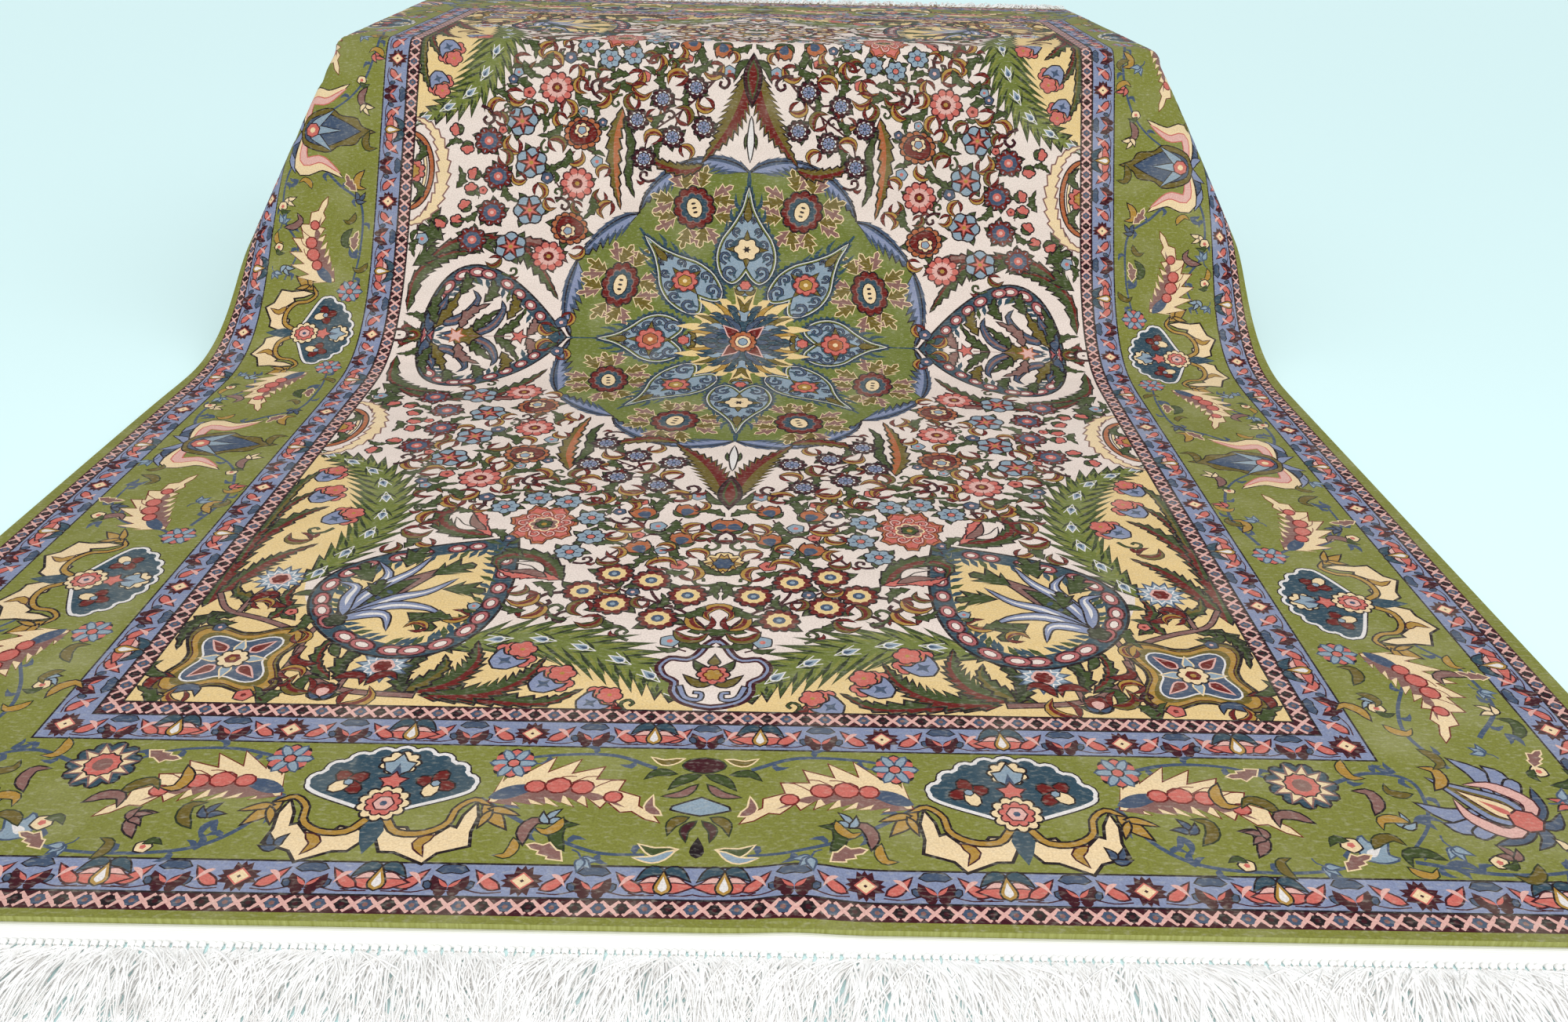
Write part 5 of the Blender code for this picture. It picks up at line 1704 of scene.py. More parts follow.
def filler(k, index):
    """One of seven small leaves, buds or florets."""
    kind = index % 7
    if kind in (0, 2, 5):
        dye, second = (("olive", "red"), ("leaf", "olive"), ("gold", "red"))[kind % 3]
        line = curve(mm([(-13, -11), (2, -10), (11, 1), (6, 15)]), 9)
        k.lay(leaf_shape(line, 0.0105), dye, "ink", 0.0007)
        k.lay(leaf_shape(line - [0.001, -0.0012], 0.0046), second)
        k.leaf(mm([(-13, -11), (-13, 2), (-5, 12)]), 6, 0.0055, second, "ink", 0.0005)
    elif kind == 1:
        k.strap(mm([(-14, -13), (0, -11), (10, 0), (4, 10), (-4, 6), (-2, 0)]), 12, 0.0036, "leaf"
            if index % 2 else "maroon", "ink", 0.0005, end=0.0026)
        k.leaf(mm([(4, -8), (14, -10), (18, -2)]), 5, 0.006, "red", "ink", 0.0005)
    elif kind in (3, 6):
        k.lay(frond_shape(curve(mm([(-11, -15), (4, -5), (5, 18)]), 11), 0.015, 4, 0.55), "leaf",
            "ink", 0.0007)
    else:
        k.strap(mm([(-2, -16), (3, -4), (0, 6)]), 5, 0.0022, "maroon")
        k.lay(scallops(5, 0.0092, 0.28, steps=3) + [0, 0.007], ("slate", "coral", "pale_blue")[index
            % 3], "ink", 0.0008)
        k.lay(oval(0, 0.007, 0.0032, count=5), ("pink", "red", "coral")[index % 3])
        k.leaf(mm([(0, -8), (10, -5), (15, 6)]), 5, 0.0066, "leaf", "ink", 0.0006)


def draw_field(k):
    """Field of one quarter."""
    k.lay(np.array([(-0.02, 0.28), (0.7, 0.28), (0.7, HALF_LENGTH + 0.02),
        (-0.02, HALF_LENGTH + 0.02)]), "ivory")
    draw_yellow_ground(k)
    draw_garlands(k)
    draw_corner(k)
    draw_cartouche(k)
    draw_lower_boteh(k)
    draw_side_boteh(k)
    draw_side_scroll(k)
    draw_medallion(k)
    draw_pendant(k)
    draw_middle_palmette(k)
    with k.at(0.263, 0.765):
        peony(k)
    with k.at(0.372, 0.758, 0.1):
        curled_leaf(k)
    with k.at(0.256, 0.640, -math.pi * 0.62):
        curled_leaf(k, -1)
    draw_flowers(k)
    fill_field(k)


# Turning the flat drawing into draped pieces

EDGE_STEP = 0.012
GRID_STEP = 0.030
FOLD_STEP = 0.010
FOLD_FROM = 0.735
FOLD_TO = 0.885
SIDE_FROM = 0.735


def refined(points, step=EDGE_STEP):
    """An outline with its long edges divided."""
    p = np.asarray(points, float)
    q = np.roll(p, -1, axis=0)
    parts = np.maximum(1, np.ceil(np.linalg.norm(q - p, axis=1) / step).astype(int))
    if parts.max() == 1:
        return p
    return np.vstack([a + (b - a) * (np.arange(n) / n)[:, None] for a, b, n in zip(p, q, parts)])


def inside(points, outline):
    """Which points lie inside an outline, also where it crosses itself."""
    x0, y0 = outline[:, 0], outline[:, 1]
    x1, y1 = np.roll(x0, -1), np.roll(y0, -1)
    found = np.zeros(len(points), bool)
    for first in range(0, len(points), 4000):
        x = points[first:first + 4000, 0][:, None]
        y = points[first:first + 4000, 1][:, None]
        side = (x1 - x0) * (y - y0) - (x - x0) * (y1 - y0)
        rising = (y0 <= y) & (y1 > y) & (side > 0)
        falling = (y0 > y) & (y1 <= y) & (side < 0)
        found[first:first + 4000] = rising.sum(axis=1) != falling.sum(axis=1)
    return found


def bending_grid():
    """Loose points of the quarter that let it bend: finer where it folds over the table."""
    def block(s0, s1, v0, v1, step):
        s = np.arange(s0 + step / 2, s1, step)
        v = np.arange(v0 + step / 2, v1, step)
        return np.array([(x, y) for x in s for y in v])
    parts = [block(0, HALF_WIDTH, 0, HALF_LENGTH, GRID_STEP),
             block(0, HALF_WIDTH, FOLD_FROM, FOLD_TO, FOLD_STEP),
             block(SIDE_FROM, HALF_WIDTH, 0, FOLD_FROM, FOLD_STEP)]
    return np.vstack(parts)


def topmost(middle, outlines):
    """Number of the last outline that covers each point."""
    order = np.argsort(middle[:, 0])
    across = middle[order, 0]
    found = np.full(len(middle), -1)
    for number in range(len(outlines) - 1, -1, -1):
        p = outlines[number]
        (left, low), (right, high) = p.min(axis=0), p.max(axis=0)
        near = order[np.searchsorted(across, left):np.searchsorted(across, right)]
        near = near[(found[near] < 0) & (middle[near, 1] > low) & (middle[near, 1] < high)]
        if len(near):
            found[near[inside(middle[near], p)]] = number
    return found


def cut(verts, edges):
    """Triangles between some points and edges, those in the quarter only."""
    made = delaunay_2d_cdt([Vector(v) for v in verts.tolist()], edges.tolist(), [], 0, 1e-6, False)
    places = np.array([(v.x, v.y) for v in made[0]])
    corners = np.array(made[2])
    middle = places[corners].mean(axis=1)
    kept = ((middle[:, 0] > 0) & (middle[:, 0] < HALF_WIDTH)
            & (middle[:, 1] > 0) & (middle[:, 1] < HALF_LENGTH))
    return places, corners[kept], middle[kept]


def dye_edges(corners, dye):
    """Edges where the dye changes, and those of the rim."""
    pairs = np.sort(np.vstack([corners[:, [0, 1]], corners[:, [1, 2]], corners[:, [2, 0]]]), axis=1)
    dyes = np.tile(dye, 3)
    order = np.lexsort((pairs[:, 1], pairs[:, 0]))
    pairs, dyes = pairs[order], dyes[order]
    first = np.append((pairs[1:] == pairs[:-1]).all(axis=1), False)
    second = np.insert(first[:-1], 0, False)
    changes = first & (dyes != np.roll(dyes, -1))
    return pairs[changes | ~(first | second)]


def straightened(places, edges, limit=0.00022, reach=0.014):
    """The same edges without the points that lie all but on a straight line."""
    count = np.bincount(edges.ravel(), minlength=len(places))
    ends = np.vstack([edges, edges[:, ::-1]])
    ends = ends[np.argsort(ends[:, 0], kind="stable")]
    first = np.searchsorted(ends[:, 0], np.arange(len(places)))
    two = np.nonzero(count == 2)[0]
    a, b = ends[first[two], 1], ends[first[two] + 1, 1]
    span, off = places[b] - places[a], places[two] - places[a]
    length = np.maximum(np.linalg.norm(span, axis=1), 1e-9)
    far = np.abs(span[:, 0] * off[:, 1] - span[:, 1] * off[:, 0]) / length
    loose = np.zeros(len(places), bool)
    loose[two] = (far < limit) & (length < reach) & (length > 1e-5)
    gone = loose[two] & ~(loose[a] & (a < two)) & ~(loose[b] & (b < two))
    dead = np.zeros(len(places), bool)
    dead[two[gone]] = True
    return np.vstack([edges[~dead[edges].any(axis=1)], np.stack([a[gone], b[gone]], axis=1)])


def quarter_mesh(shapes):
    """Triangles of one quarter: corner places, corners of each triangle and its dye."""
    box = np.array([(0, 0), (HALF_WIDTH, 0), (HALF_WIDTH, HALF_LENGTH), (0, HALF_LENGTH)])
    outlines, dyes = [refined(box)], [0]
    for points, dye in shapes:
        p = refined(points)
        if p[:, 0].max() > 0 and p[:, 1].min() < HALF_LENGTH and abs(area_of(p)) > 1e-7:
            outlines.append(p)
            dyes.append(DYE_NAMES.index(dye))
    edges, first = [], 0
    for p in outlines:
        number = np.arange(first, first + len(p))
        edges.append(np.stack([number, np.roll(number, -1)], axis=1))
        first += len(p)
    places, corners, middle = cut(np.vstack(outlines), np.vstack(edges))
    dyes = np.array(dyes)
    seen = dye_edges(corners, dyes[topmost(middle, outlines)])
    for _ in range(4):
        seen = straightened(places, seen)
    used = np.unique(seen)
    renumber = np.zeros(len(places), int)
    renumber[used] = np.arange(len(used))
    places, corners, middle = cut(np.vstack([places[used], bending_grid()]), renumber[seen])
    places[:, 0] = np.clip(places[:, 0], 0, HALF_WIDTH)
    places[:, 1] = np.clip(places[:, 1], 0, HALF_LENGTH)
    return places, corners, dyes[topmost(middle, outlines)]


def linear(colour):
    """An sRGB colour of 0 to 255 as linear values of 0 to 1."""
    c = np.asarray(colour, float) / 255
    return np.where(c <= 0.04045, c / 12.92, ((c + 0.055) / 1.055) ** 2.4)


def mesh_object(name, points, corners, smooth=True):
    mesh = bpy.data.meshes.new(name)
    mesh.from_pydata(points.tolist(), [], corners.tolist())
    mesh.update()
    if smooth:
        mesh.shade_smooth()
    made = bpy.data.objects.new(name, mesh)
    bpy.context.scene.collection.objects.link(made)
    return made


def add_flat_map(mesh, places):
    """Where each point lies on the flat carpet, kept for the materials."""
    layer = mesh.uv_layers.new(name="flat")
    index = np.zeros(len(mesh.loops), int)
    mesh.loops.foreach_get("vertex_index", index)
    layer.data.foreach_set("uv", places[index].astype(np.float32).ravel())


def pile_piece(name, drape, places, corners, dye, surface):
    """One part of the pile, with its dyes and the drape's own normals."""
    used = np.unique(corners)
    renumber = np.zeros(len(places), int)
    renumber[used] = np.arange(len(used))
    places, corners = places[used], renumber[corners]
    points = drape.points(places[:, 0], places[:, 1], PILE_THICKNESS)
    made = mesh_object(name, points, corners)
    palette = np.array([list(linear(DYES[n])) + [1.0] for n in DYE_NAMES])
    colours = made.data.attributes.new("dye", "FLOAT_COLOR", "CORNER")
    colours.data.foreach_set("color", np.repeat(palette[dye], 3, axis=0).astype(np.float32).ravel())
    add_flat_map(made.data, places)
    made.data.normals_split_custom_set_from_vertices(
        drape.normal(places[:, 0], places[:, 1]).tolist())
    made.data.materials.append(surface)
    return made


def add_pile(drape, surface):
    """The four mirrored quarters of the pile, each as a border piece and a field piece."""
    sketch = Sketch()
    draw_field(sketch)
    draw_border(sketch)
    places, corners, dye = quarter_mesh(sketch.shapes)
    middle = places[corners].mean(axis=1)
    border = (middle[:, 0] > HALF_WIDTH - SIDE_BANDS[-1]) | (middle[:, 1] < END_BANDS[-1])
    made = []
    for end in ("front", "back"):
        for side in ("left", "right"):
            moved = places.copy()
            flips = 0
            if side == "left":
                moved[:, 0] *= -1
                flips += 1
            if end == "back":
                moved[:, 1] = PILE_LENGTH - moved[:, 1]
                flips += 1
            wound = corners[:, ::-1] if flips == 1 else corners
            for part, chosen in (("border", border), ("field", ~border)):
                made.append(pile_piece(f"pile_{part}_{end}_{side}", drape, moved, wound[chosen],
                                       dye[chosen], surface))
    return made


# Mesh of the woven back and of the kilim ends, and how far they lie over the drape
BACK_COLUMNS = 111
BACK_ROWS = 161
BACK_LIFT = 0.0006
KILIM_COLUMNS = 252
KILIM_LIFT = 0.0004
# Height and outward step of each ring of the bound edge
BOUND_EDGE = ((0.003, 0.0006), (0.0065, 0.0006), (PILE_THICKNESS, 0.0))


def add_back(drape, surface, edging):
    """Woven back of the carpet with its bound edges, under the pile."""
    s = np.linspace(-HALF_WIDTH, HALF_WIDTH, BACK_COLUMNS)
    v = np.linspace(0, PILE_LENGTH, BACK_ROWS)
    across, along = np.meshgrid(s, v, indexing="ij")
    under = drape.points(across.ravel(), along.ravel(), BACK_LIFT)
    count, rows = len(s), len(v)
    grid = np.arange(count * rows).reshape(count, rows)
    a, b, c, d = grid[:-1, :-1], grid[:-1, 1:], grid[1:, 1:], grid[1:, :-1]
    faces = [np.stack([a, b, c, d], axis=-1).reshape(-1, 4)]
    rim = np.concatenate([grid[:, 0], grid[-1, 1:], grid[-2::-1, -1], grid[0, -2:0:-1]])
    places = np.stack([across.ravel(), along.ravel()], axis=1)
    points, total = [under], len(under)
    last = rim
    for height, out in BOUND_EDGE:
        edge = places[rim]
        spread = edge + out * np.stack([np.sign(edge[:, 0]) * (np.abs(edge[:, 0]) > HALF_WIDTH - 1e-6),
                                        np.where(edge[:, 1] < 1e-6, -0.3, 0)
                                        + np.where(edge[:, 1] > PILE_LENGTH - 1e-6, 0.3, 0)], axis=1)
        points.append(drape.points(spread[:, 0], spread[:, 1], height))
        places = np.vstack([places, edge])
        ring = np.arange(total, total + len(rim))
        total += len(rim)
        faces.append(np.stack([last, np.roll(last, -1), np.roll(ring, -1), ring], axis=1))
        last = ring
    made = mesh_object("carpet_back", np.vstack(points), np.vstack(faces))
    add_flat_map(made.data, places)
    made.data.materials.append(surface)
    made.data.materials.append(edging)
    flat = (count - 1) * (rows - 1)
    for face in made.data.polygons[flat:]:
        face.material_index = 1
    return made


def add_kilim(name, drape, near, far, surface):
    """Flat-woven band past one end of the pile, thin and closed."""
    s = np.linspace(-HALF_WIDTH, HALF_WIDTH, KILIM_COLUMNS)
    layers = []
    for height in (KILIM_LIFT, KILIM_THICKNESS):
        for along in np.linspace(near, far, 5):
            layers.append(drape.points(s, np.full_like(s, along), height))
    points = np.vstack(layers)
    grid = np.arange(len(points)).reshape(10, len(s))
    loop = [grid[k] for k in range(5)] + [grid[k] for k in range(9, 4, -1)]
    faces = [np.stack([low[:-1], low[1:], high[1:], high[:-1]], axis=1)
             for low, high in zip(loop, loop[1:] + loop[:1])]
    faces = np.vstack(faces)
    if far > near:
        faces = faces[:, ::-1]
    made = mesh_object(name, points, faces)
    places = np.vstack([np.stack([s, np.full_like(s, along)], axis=1)
                        for _ in range(2) for along in np.linspace(near, far, 5)])
    add_flat_map(made.data, places)
    made.data.materials.append(surface)
    return made


# Fringe

LOCKS = 252
THREADS = 18
THREAD_STEPS = 7
THREAD_LENGTH = 0.102
KNOT_RADIUS = 0.0038
KNOT_LENGTH = 0.007
KNOT_BULGE = np.array([0.45, 0.9, 1.0, 0.85, 0.5])
KNOT_SIDES = 5
THREAD_SIDES = 3
THREAD_START = 0.006
THREAD_FLOOR = 0.0012
SIDE_SPILL = 0.014


def tube(points, radii, sides):
    """Vertices and faces of a thin tube along a line."""
    way = np.gradient(points, axis=0)
    way /= np.maximum(np.linalg.norm(way, axis=1), 1e-9)[:, None]
    up = np.array([0.0, 0.0, 1.0])
    side = np.cross(way, up + 1e-3)
    side /= np.maximum(np.linalg.norm(side, axis=1), 1e-9)[:, None]
    top = np.cross(side, way)
    rings = []
    for k in range(sides):
        a = 2 * math.pi * k / sides
        rings.append(points + (side * math.cos(a) + top * math.sin(a)) * radii[:, None])
    verts = np.stack(rings, axis=1).reshape(-1, 3)
    count = len(points)
    grid = np.arange(count * sides).reshape(count, sides)
    a, b = grid[:-1], grid[1:]
    faces = np.stack([a, np.roll(a, -1, axis=1), np.roll(b, -1, axis=1), b], axis=-1)
    return verts, faces.reshape(-1, 4)


def add_fringe(name, drape, root, outward, surface, locks, threads):
    """Knots in a row and loose threads that spread from them, lying on what is under them."""
    rng = np.random.default_rng(7 if outward < 0 else 11)
    verts, faces, total = [], [], 0
    pitch = CARPET_WIDTH / locks
    for index in range(locks):
        middle = -HALF_WIDTH + (index + 0.5) * pitch + rng.normal(0, pitch * 0.08)
        lean = rng.normal(0, 0.16) + 0.25 * math.sin(index * 0.21) + 0.14 * math.sin(index * 0.083)
        along = root + outward * np.linspace(0, 1, len(KNOT_BULGE)) * KNOT_LENGTH
        spine = drape.points(np.full(len(along), middle), along, KNOT_RADIUS + 0.0001)
        v, f = tube(spine, KNOT_RADIUS * KNOT_BULGE, KNOT_SIDES)
        verts.append(v)
        faces.append(f + total)
        total += len(v)
        for _ in range(threads):
            length = THREAD_LENGTH * rng.uniform(0.78, 1.02)
            start = root + outward * THREAD_START
            t = np.linspace(0, 1, THREAD_STEPS)
            turn = lean + rng.normal(0, 0.24)
            bow = rng.normal(0, 0.012)
            curl = rng.normal(0, 0.0030) * np.sin(2 * math.pi * t * rng.uniform(0.8, 1.8)) * t
            s = (middle + rng.normal(0, 0.0014) + length * t * math.sin(turn)
                 + bow * t * (1 - t) * 2 + curl)
            reach = length * t * math.cos(turn)
            lift = 0.0022 + rng.uniform(0, 0.0115) * np.sin(math.pi * np.minimum(t * 1.15, 1))
            s = np.clip(s, -HALF_WIDTH - SIDE_SPILL, HALF_WIDTH + SIDE_SPILL)
            line = drape.points(s, start + outward * reach, lift)
            hang = np.clip(1 - np.abs(drape.normal(s[:1], np.array([root]))[0, 2]), 0, 1)
            line[:, 2] -= hang * reach * 0.55 * t
            line[:, 2] = np.maximum(line[:, 2], THREAD_FLOOR)
            radius = rng.uniform(0.0010, 0.0016) * (1 - 0.4 * t)
            v, f = tube(line, radius, THREAD_SIDES)
            verts.append(v)
            faces.append(f + total)
            total += len(v)
    made = mesh_object(name, np.vstack(verts), np.vstack(faces))
    made.data.materials.append(surface)
    return made


# Materials

def new_material(name):
    made = bpy.data.materials.new(name)
    made.use_nodes = True
    tree = made.node_tree
    shader = tree.nodes["Principled BSDF"]
    return made, tree, shader


def node(tree, kind, **inputs):
    made = tree.nodes.new(kind)
    for key, value in inputs.items():
        made.inputs[key.replace("_", " ")].default_value = value
    return made


def mix(tree, blend, share, first, second):
    """Colour mix of two sockets or colours. The share is a value or a socket."""
    made = tree.nodes.new("ShaderNodeMix")
    made.data_type = "RGBA"
    made.blend_type = blend
    for socket, value in ((made.inputs[0], share), (made.inputs[6], first),
                          (made.inputs[7], second)):
        if isinstance(value, bpy.types.NodeSocket):
            tree.links.new(value, socket)
        else:
            socket.default_value = value
    return made.outputs[2]


def ramp(tree, source, low, high, start=0.0, end=1.0):
    made = tree.nodes.new("ShaderNodeMapRange")
    made.inputs["From Min"].default_value = low
    made.inputs["From Max"].default_value = high
    made.inputs["To Min"].default_value = start
    made.inputs["To Max"].default_value = end
    tree.links.new(source, made.inputs["Value"])
    return made.outputs["Result"]


def noise(tree, place, scale, detail=2.0, stretch=None):
    made = node(tree, "ShaderNodeTexNoise", Scale=scale, Detail=detail)
    if stretch:
        moved = tree.nodes.new("ShaderNodeMapping")
        moved.inputs["Scale"].default_value = stretch
        tree.links.new(place, moved.inputs["Vector"])
        place = moved.outputs["Vector"]
    tree.links.new(place, made.inputs["Vector"])
    return made.outputs["Fac"]


def flat_place(tree):
    made = tree.nodes.new("ShaderNodeUVMap")
    made.uv_map = "flat"
    return made.outputs["UV"]


def rgba(colour):
    return tuple(linear(colour)) + (1.0,)


def pile_material():
    """Dense wool pile: its dye with knot-sized unevenness, faint weaving stripes and lighter patches of
    painted sheen and wear.
    """
    made, tree, shader = new_material("wool_pile")
    place = flat_place(tree)
    dye = tree.nodes.new("ShaderNodeAttribute")
    dye.attribute_name = "dye"
    knots = noise(tree, place, 420.0, 1.0)
    strands = noise(tree, place, 120.0, 3.0, (1.0, 2.2, 1.0))
    stripes = noise(tree, place, 3.0, 3.0, (0.6, 8.0, 1.0))
    sheen_and_wear_patches = noise(tree, place, 11.0, 5.0)
    colour = mix(tree, "MULTIPLY", ramp(tree, knots, 0.3, 0.7, 0.0, 0.50), dye.outputs["Color"],
                 (0.55, 0.52, 0.50, 1))
    colour = mix(tree, "MIX", ramp(tree, strands, 0.52, 0.78, 0.0, 0.24), colour,
                 (0.78, 0.74, 0.60, 1))
    # Lighter patches screened over the dye: painted sheen of the pile's nap, partly wear
    colour = mix(tree, "SCREEN", ramp(tree, sheen_and_wear_patches, 0.48, 0.75, 0.0, 0.20), colour,
                 (0.50, 0.46, 0.34, 1))
    colour = mix(tree, "MULTIPLY", ramp(tree, stripes, 0.35, 0.65, 0.0, 0.25), colour,
                 (0.72, 0.72, 0.70, 1))
    colour = mix(tree, "MULTIPLY", 1.0, colour, (0.93, 0.92, 0.94, 1))
    tree.links.new(colour, shader.inputs["Base Color"])
    shader.inputs["Roughness"].default_value = 0.92
    shader.inputs["Specular IOR Level"].default_value = 0.15
    shader.inputs["Sheen Weight"].default_value = 0.07
    shader.inputs["Sheen Roughness"].default_value = 0.45
    shader.inputs["Sheen Tint"].default_value = (0.92, 0.95, 1.0, 1)
    bump = node(tree, "ShaderNodeBump", Strength=0.35, Distance=0.0012)
    tree.links.new(knots, bump.inputs["Height"])
    tree.links.new(bump.outputs["Normal"], shader.inputs["Normal"])
    return made


def yarn_material(name, colour, shade, scale, rough=0.9, painted_glow=0.10):
    """White cotton yarn with soft darker streaks and a faint painted glow that stands in for light
    scattered between the threads.
    """
    made, tree, shader = new_material(name)
    place = tree.nodes.new("ShaderNodeTexCoord").outputs["Object"]
    streaks = noise(tree, place, scale, 3.0)
    tint = mix(tree, "MIX", ramp(tree, streaks, 0.40, 0.75, 0.0, 0.6), rgba(colour), rgba(shade))
    tree.links.new(tint, shader.inputs["Base Color"])
    shader.inputs["Roughness"].default_value = rough
    shader.inputs["Sheen Weight"].default_value = 0.3
    # Painted glow: the yarn emits a little of its own white so the fringe looks brighter; it is no lamp
    shader.inputs["Emission Color"].default_value = rgba(colour)
    shader.inputs["Emission Strength"].default_value = painted_glow
    return made


def kilim_material():
    """Flat-woven cotton with fine rows."""
    made, tree, shader = new_material("kilim_weave")
    place = flat_place(tree)
    rows = tree.nodes.new("ShaderNodeTexWave")
    rows.bands_direction = "Y"
    rows.inputs["Scale"].default_value = 210.0
    rows.inputs["Distortion"].default_value = 1.0
    tree.links.new(place, rows.inputs["Vector"])
    tint = mix(tree, "MIX", ramp(tree, rows.outputs["Fac"], 0.0, 1.0, 0.0, 0.22),
               rgba((253, 252, 249)), rgba((222, 218, 210)))
    tree.links.new(tint, shader.inputs["Base Color"])
    shader.inputs["Roughness"].default_value = 0.9
    bump = node(tree, "ShaderNodeBump", Strength=0.3, Distance=0.0006)
    tree.links.new(rows.outputs["Fac"], bump.inputs["Height"])
    tree.links.new(bump.outputs["Normal"], shader.inputs["Normal"])
    return made


def back_material():
    """Back of the knots: the pattern's bands, paler and speckled."""
    made, tree, shader = new_material("woven_back")
    place = flat_place(tree)
    split = tree.nodes.new("ShaderNodeSeparateXYZ")
    tree.links.new(place, split.inputs[0])
    mixed = noise(tree, place, 26.0, 4.0)
    fine = noise(tree, place, 260.0, 2.0)
    side = tree.nodes.new("ShaderNodeMath")
    side.operation = "ABSOLUTE"
    tree.links.new(split.outputs["X"], side.inputs[0])
    field = mix(tree, "MIX", ramp(tree, mixed, 0.46, 0.54), rgba((190, 178, 158)),
                rgba((120, 96, 80)))
    green = mix(tree, "MIX", ramp(tree, mixed, 0.50, 0.62), rgba((112, 118, 70)),
                rgba((170, 140, 110)))
    edge = ramp(tree, side.outputs[0], HALF_WIDTH - SIDE_BANDS[-1] - 0.004,
                HALF_WIDTH - SIDE_BANDS[-1] + 0.004)
    tint = mix(tree, "MIX", edge, field, green)
    tint = mix(tree, "MULTIPLY", ramp(tree, fine, 0.35, 0.65, 0.0, 0.4), tint, (0.6, 0.58, 0.55, 1))
    tree.links.new(tint, shader.inputs["Base Color"])
    shader.inputs["Roughness"].default_value = 0.95
    return made


def edge_material():
    """Green wool that shows at the cut edge of the pile."""
    made, tree, shader = new_material("wool_edge")
    place = flat_place(tree)
    tufts = noise(tree, place, 240.0, 3.0)
    tint = mix(tree, "MIX", ramp(tree, tufts, 0.35, 0.65), rgba(DYES["green"]),
               rgba((168, 172, 104)))
    tree.links.new(tint, shader.inputs["Base Color"])
    shader.inputs["Roughness"].default_value = 0.95
    return made


def wood_material():
    """Plain satin pine for the table under the carpet."""
    made, tree, shader = new_material("table_pine")
    place = tree.nodes.new("ShaderNodeTexCoord").outputs["Object"]
    grain = noise(tree, place, 6.0, 6.0, (1.0, 9.0, 9.0))
    fine = noise(tree, place, 40.0, 3.0, (0.6, 12.0, 12.0))
    tint = mix(tree, "MIX", ramp(tree, grain, 0.35, 0.65), rgba((168, 124, 80)),
               rgba((120, 82, 50)))
    tint = mix(tree, "MULTIPLY", ramp(tree, fine, 0.4, 0.7, 0.0, 0.35), tint, (0.6, 0.5, 0.4, 1))
    tree.links.new(tint, shader.inputs["Base Color"])
    shader.inputs["Roughness"].default_value = 0.5
    return made


def plain_material(name, colour, rough):
    made, _, shader = new_material(name)
    shader.inputs["Base Color"].default_value = rgba(colour)
    shader.inputs["Roughness"].default_value = rough
    return made


# Stage

# Angles in degrees. A sun: strength, angle, tilt and heading
FLOOR_COLOUR = (228, 255, 255)
FLOOR_REACH = 40.0
FLOOR_SINK = 0.0004
SKY_COLOUR = (0.93, 0.98, 1.0, 1)
SKY_STRENGTH = 0.62
KEY_SUN = (0.85, 35, 42, -24)
FILL_SUN = (0.50, 60, 50, 60)
SOFTBOX_POWER = 23.0
SOFTBOX_SIZE = 1.6
SOFTBOX_PLACE = (0.2, -2.1, 2.3)
SOFTBOX_AIM = (0.0, -0.3, 0.0)


def add_camera():
    forward = (Matrix.Rotation(CAMERA_YAW, 3, "Z")
               @ Vector((0, math.cos(CAMERA_PITCH), -math.sin(CAMERA_PITCH))))
    right = Matrix.Rotation(CAMERA_YAW, 3, "Z") @ Vector((1, 0, 0))
    up = right.cross(forward)
    rolled = right * math.cos(CAMERA_ROLL) + up * math.sin(CAMERA_ROLL)
    raised = up * math.cos(CAMERA_ROLL) - right * math.sin(CAMERA_ROLL)
    data = bpy.data.cameras.new("camera")
    data.sensor_width = SENSOR
    data.lens = LENS
    data.clip_start = 0.02
    data.clip_end = 100.0
    made = bpy.data.objects.new("camera", data)
    turn = Matrix((rolled, raised, -forward)).transposed().to_4x4()
    made.matrix_world = Matrix.Translation(CAMERA_AT) @ turn
    bpy.context.scene.collection.objects.link(made)
    bpy.context.scene.camera = made


def add_floor():
    size = FLOOR_REACH
    made = mesh_object("floor", np.array([(-size, -size, 0), (size, -size, 0), (size, size, 0),
                                          (-size, size, 0)], float), np.array([(0, 1, 2, 3)]))
    made.location.z = -FLOOR_SINK
    made.data.materials.append(plain_material("floor_pale", FLOOR_COLOUR, 0.95))


def add_sun(name, strength, angle, tilt, heading):
    """Wide soft light from a tilt off the vertical, out of a heading round Z."""
    data = bpy.data.lights.new(name, "SUN")
    data.energy = strength
    data.angle = math.radians(angle)
    made = bpy.data.objects.new(name, data)
    made.rotation_euler = (math.radians(tilt), 0, math.radians(heading))
    bpy.context.scene.collection.objects.link(made)


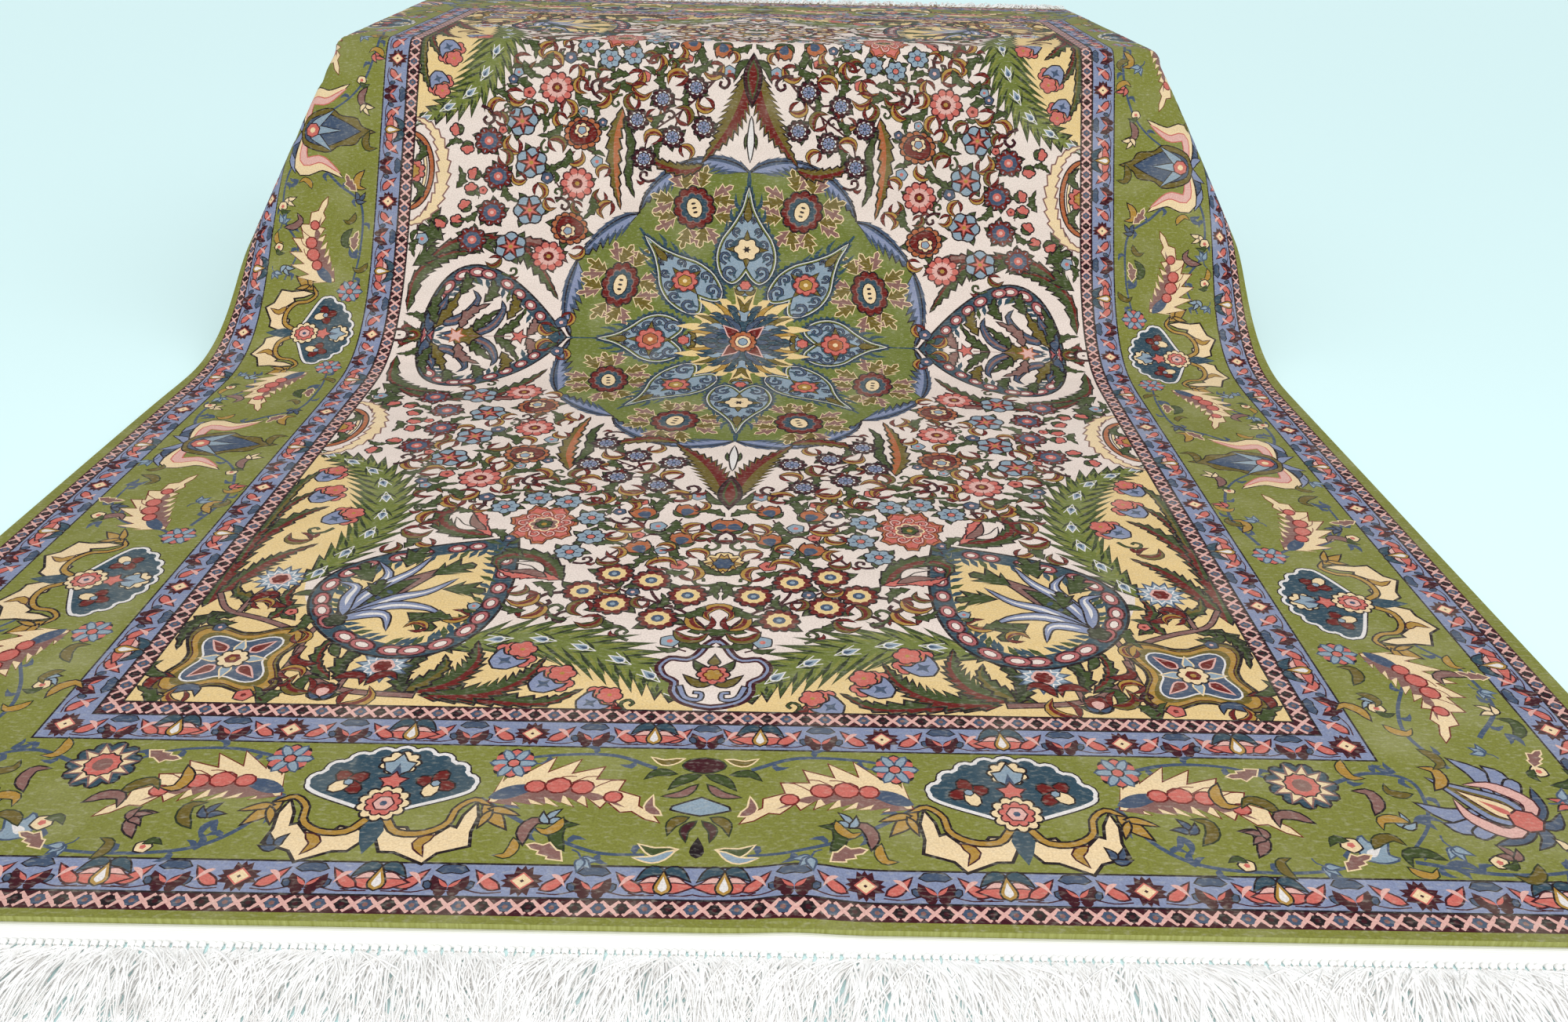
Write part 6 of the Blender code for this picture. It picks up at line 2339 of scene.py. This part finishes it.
def add_softbox(name, power, size, place, aim):
    """Square soft light that hangs at a place and points at another."""
    data = bpy.data.lights.new(name, "AREA")
    data.energy = power
    data.size = size
    made = bpy.data.objects.new(name, data)
    made.location = place
    made.rotation_euler = (Vector(aim) - Vector(place)).to_track_quat("-Z", "Y").to_euler()
    bpy.context.scene.collection.objects.link(made)


def add_studio():
    add_floor()
    world = bpy.data.worlds.new("studio")
    bpy.context.scene.world = world
    world.use_nodes = True
    back = world.node_tree.nodes["Background"]
    back.inputs["Color"].default_value = SKY_COLOUR
    back.inputs["Strength"].default_value = SKY_STRENGTH
    add_sun("key", *KEY_SUN)
    add_softbox("front", SOFTBOX_POWER, SOFTBOX_SIZE, SOFTBOX_PLACE, SOFTBOX_AIM)
    add_sun("fill", *FILL_SUN)
    bpy.context.scene.view_settings.view_transform = "Standard"


def build():
    add_camera()
    drape = Drape()
    pile = add_pile(drape, pile_material())
    back = add_back(drape, back_material(), edge_material())
    weave = kilim_material()
    kilims = [add_kilim("kilim_front_weave", drape, -PIECE_GAP, -PIECE_GAP - KILIM_WIDTH, weave),
              add_kilim("kilim_back_weave", drape, PILE_LENGTH + PIECE_GAP,
                        PILE_LENGTH + PIECE_GAP + KILIM_WIDTH, weave)]
    yarn = yarn_material("cotton_fringe", (253, 252, 250), (216, 212, 208), 60.0)
    reach = KILIM_WIDTH + PIECE_GAP
    threads = THREADS
    fringes = [add_fringe("fringe_front_threads", drape, -reach, -1, yarn, LOCKS, threads),
               add_fringe("fringe_back_threads", drape, PILE_LENGTH + reach, 1, yarn, LOCKS // 2,
                          threads // 3 + 1)]
    for piece in pile + [back]:
        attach(piece, "root")
        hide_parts("carpet_body")
    for piece, cad in zip(kilims, ("kilim_front", "kilim_back")):
        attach(piece, "root")
        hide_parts(cad)
    for piece, cad in zip(fringes, ("fringe_front", "fringe_back")):
        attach(piece, "root")
        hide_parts(cad)
    wood = wood_material()
    for name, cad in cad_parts.items():
        if name.startswith(("table_", "apron_", "leg_")):
            cad.data.materials.clear()
            cad.data.materials.append(wood)
    add_studio()


build()
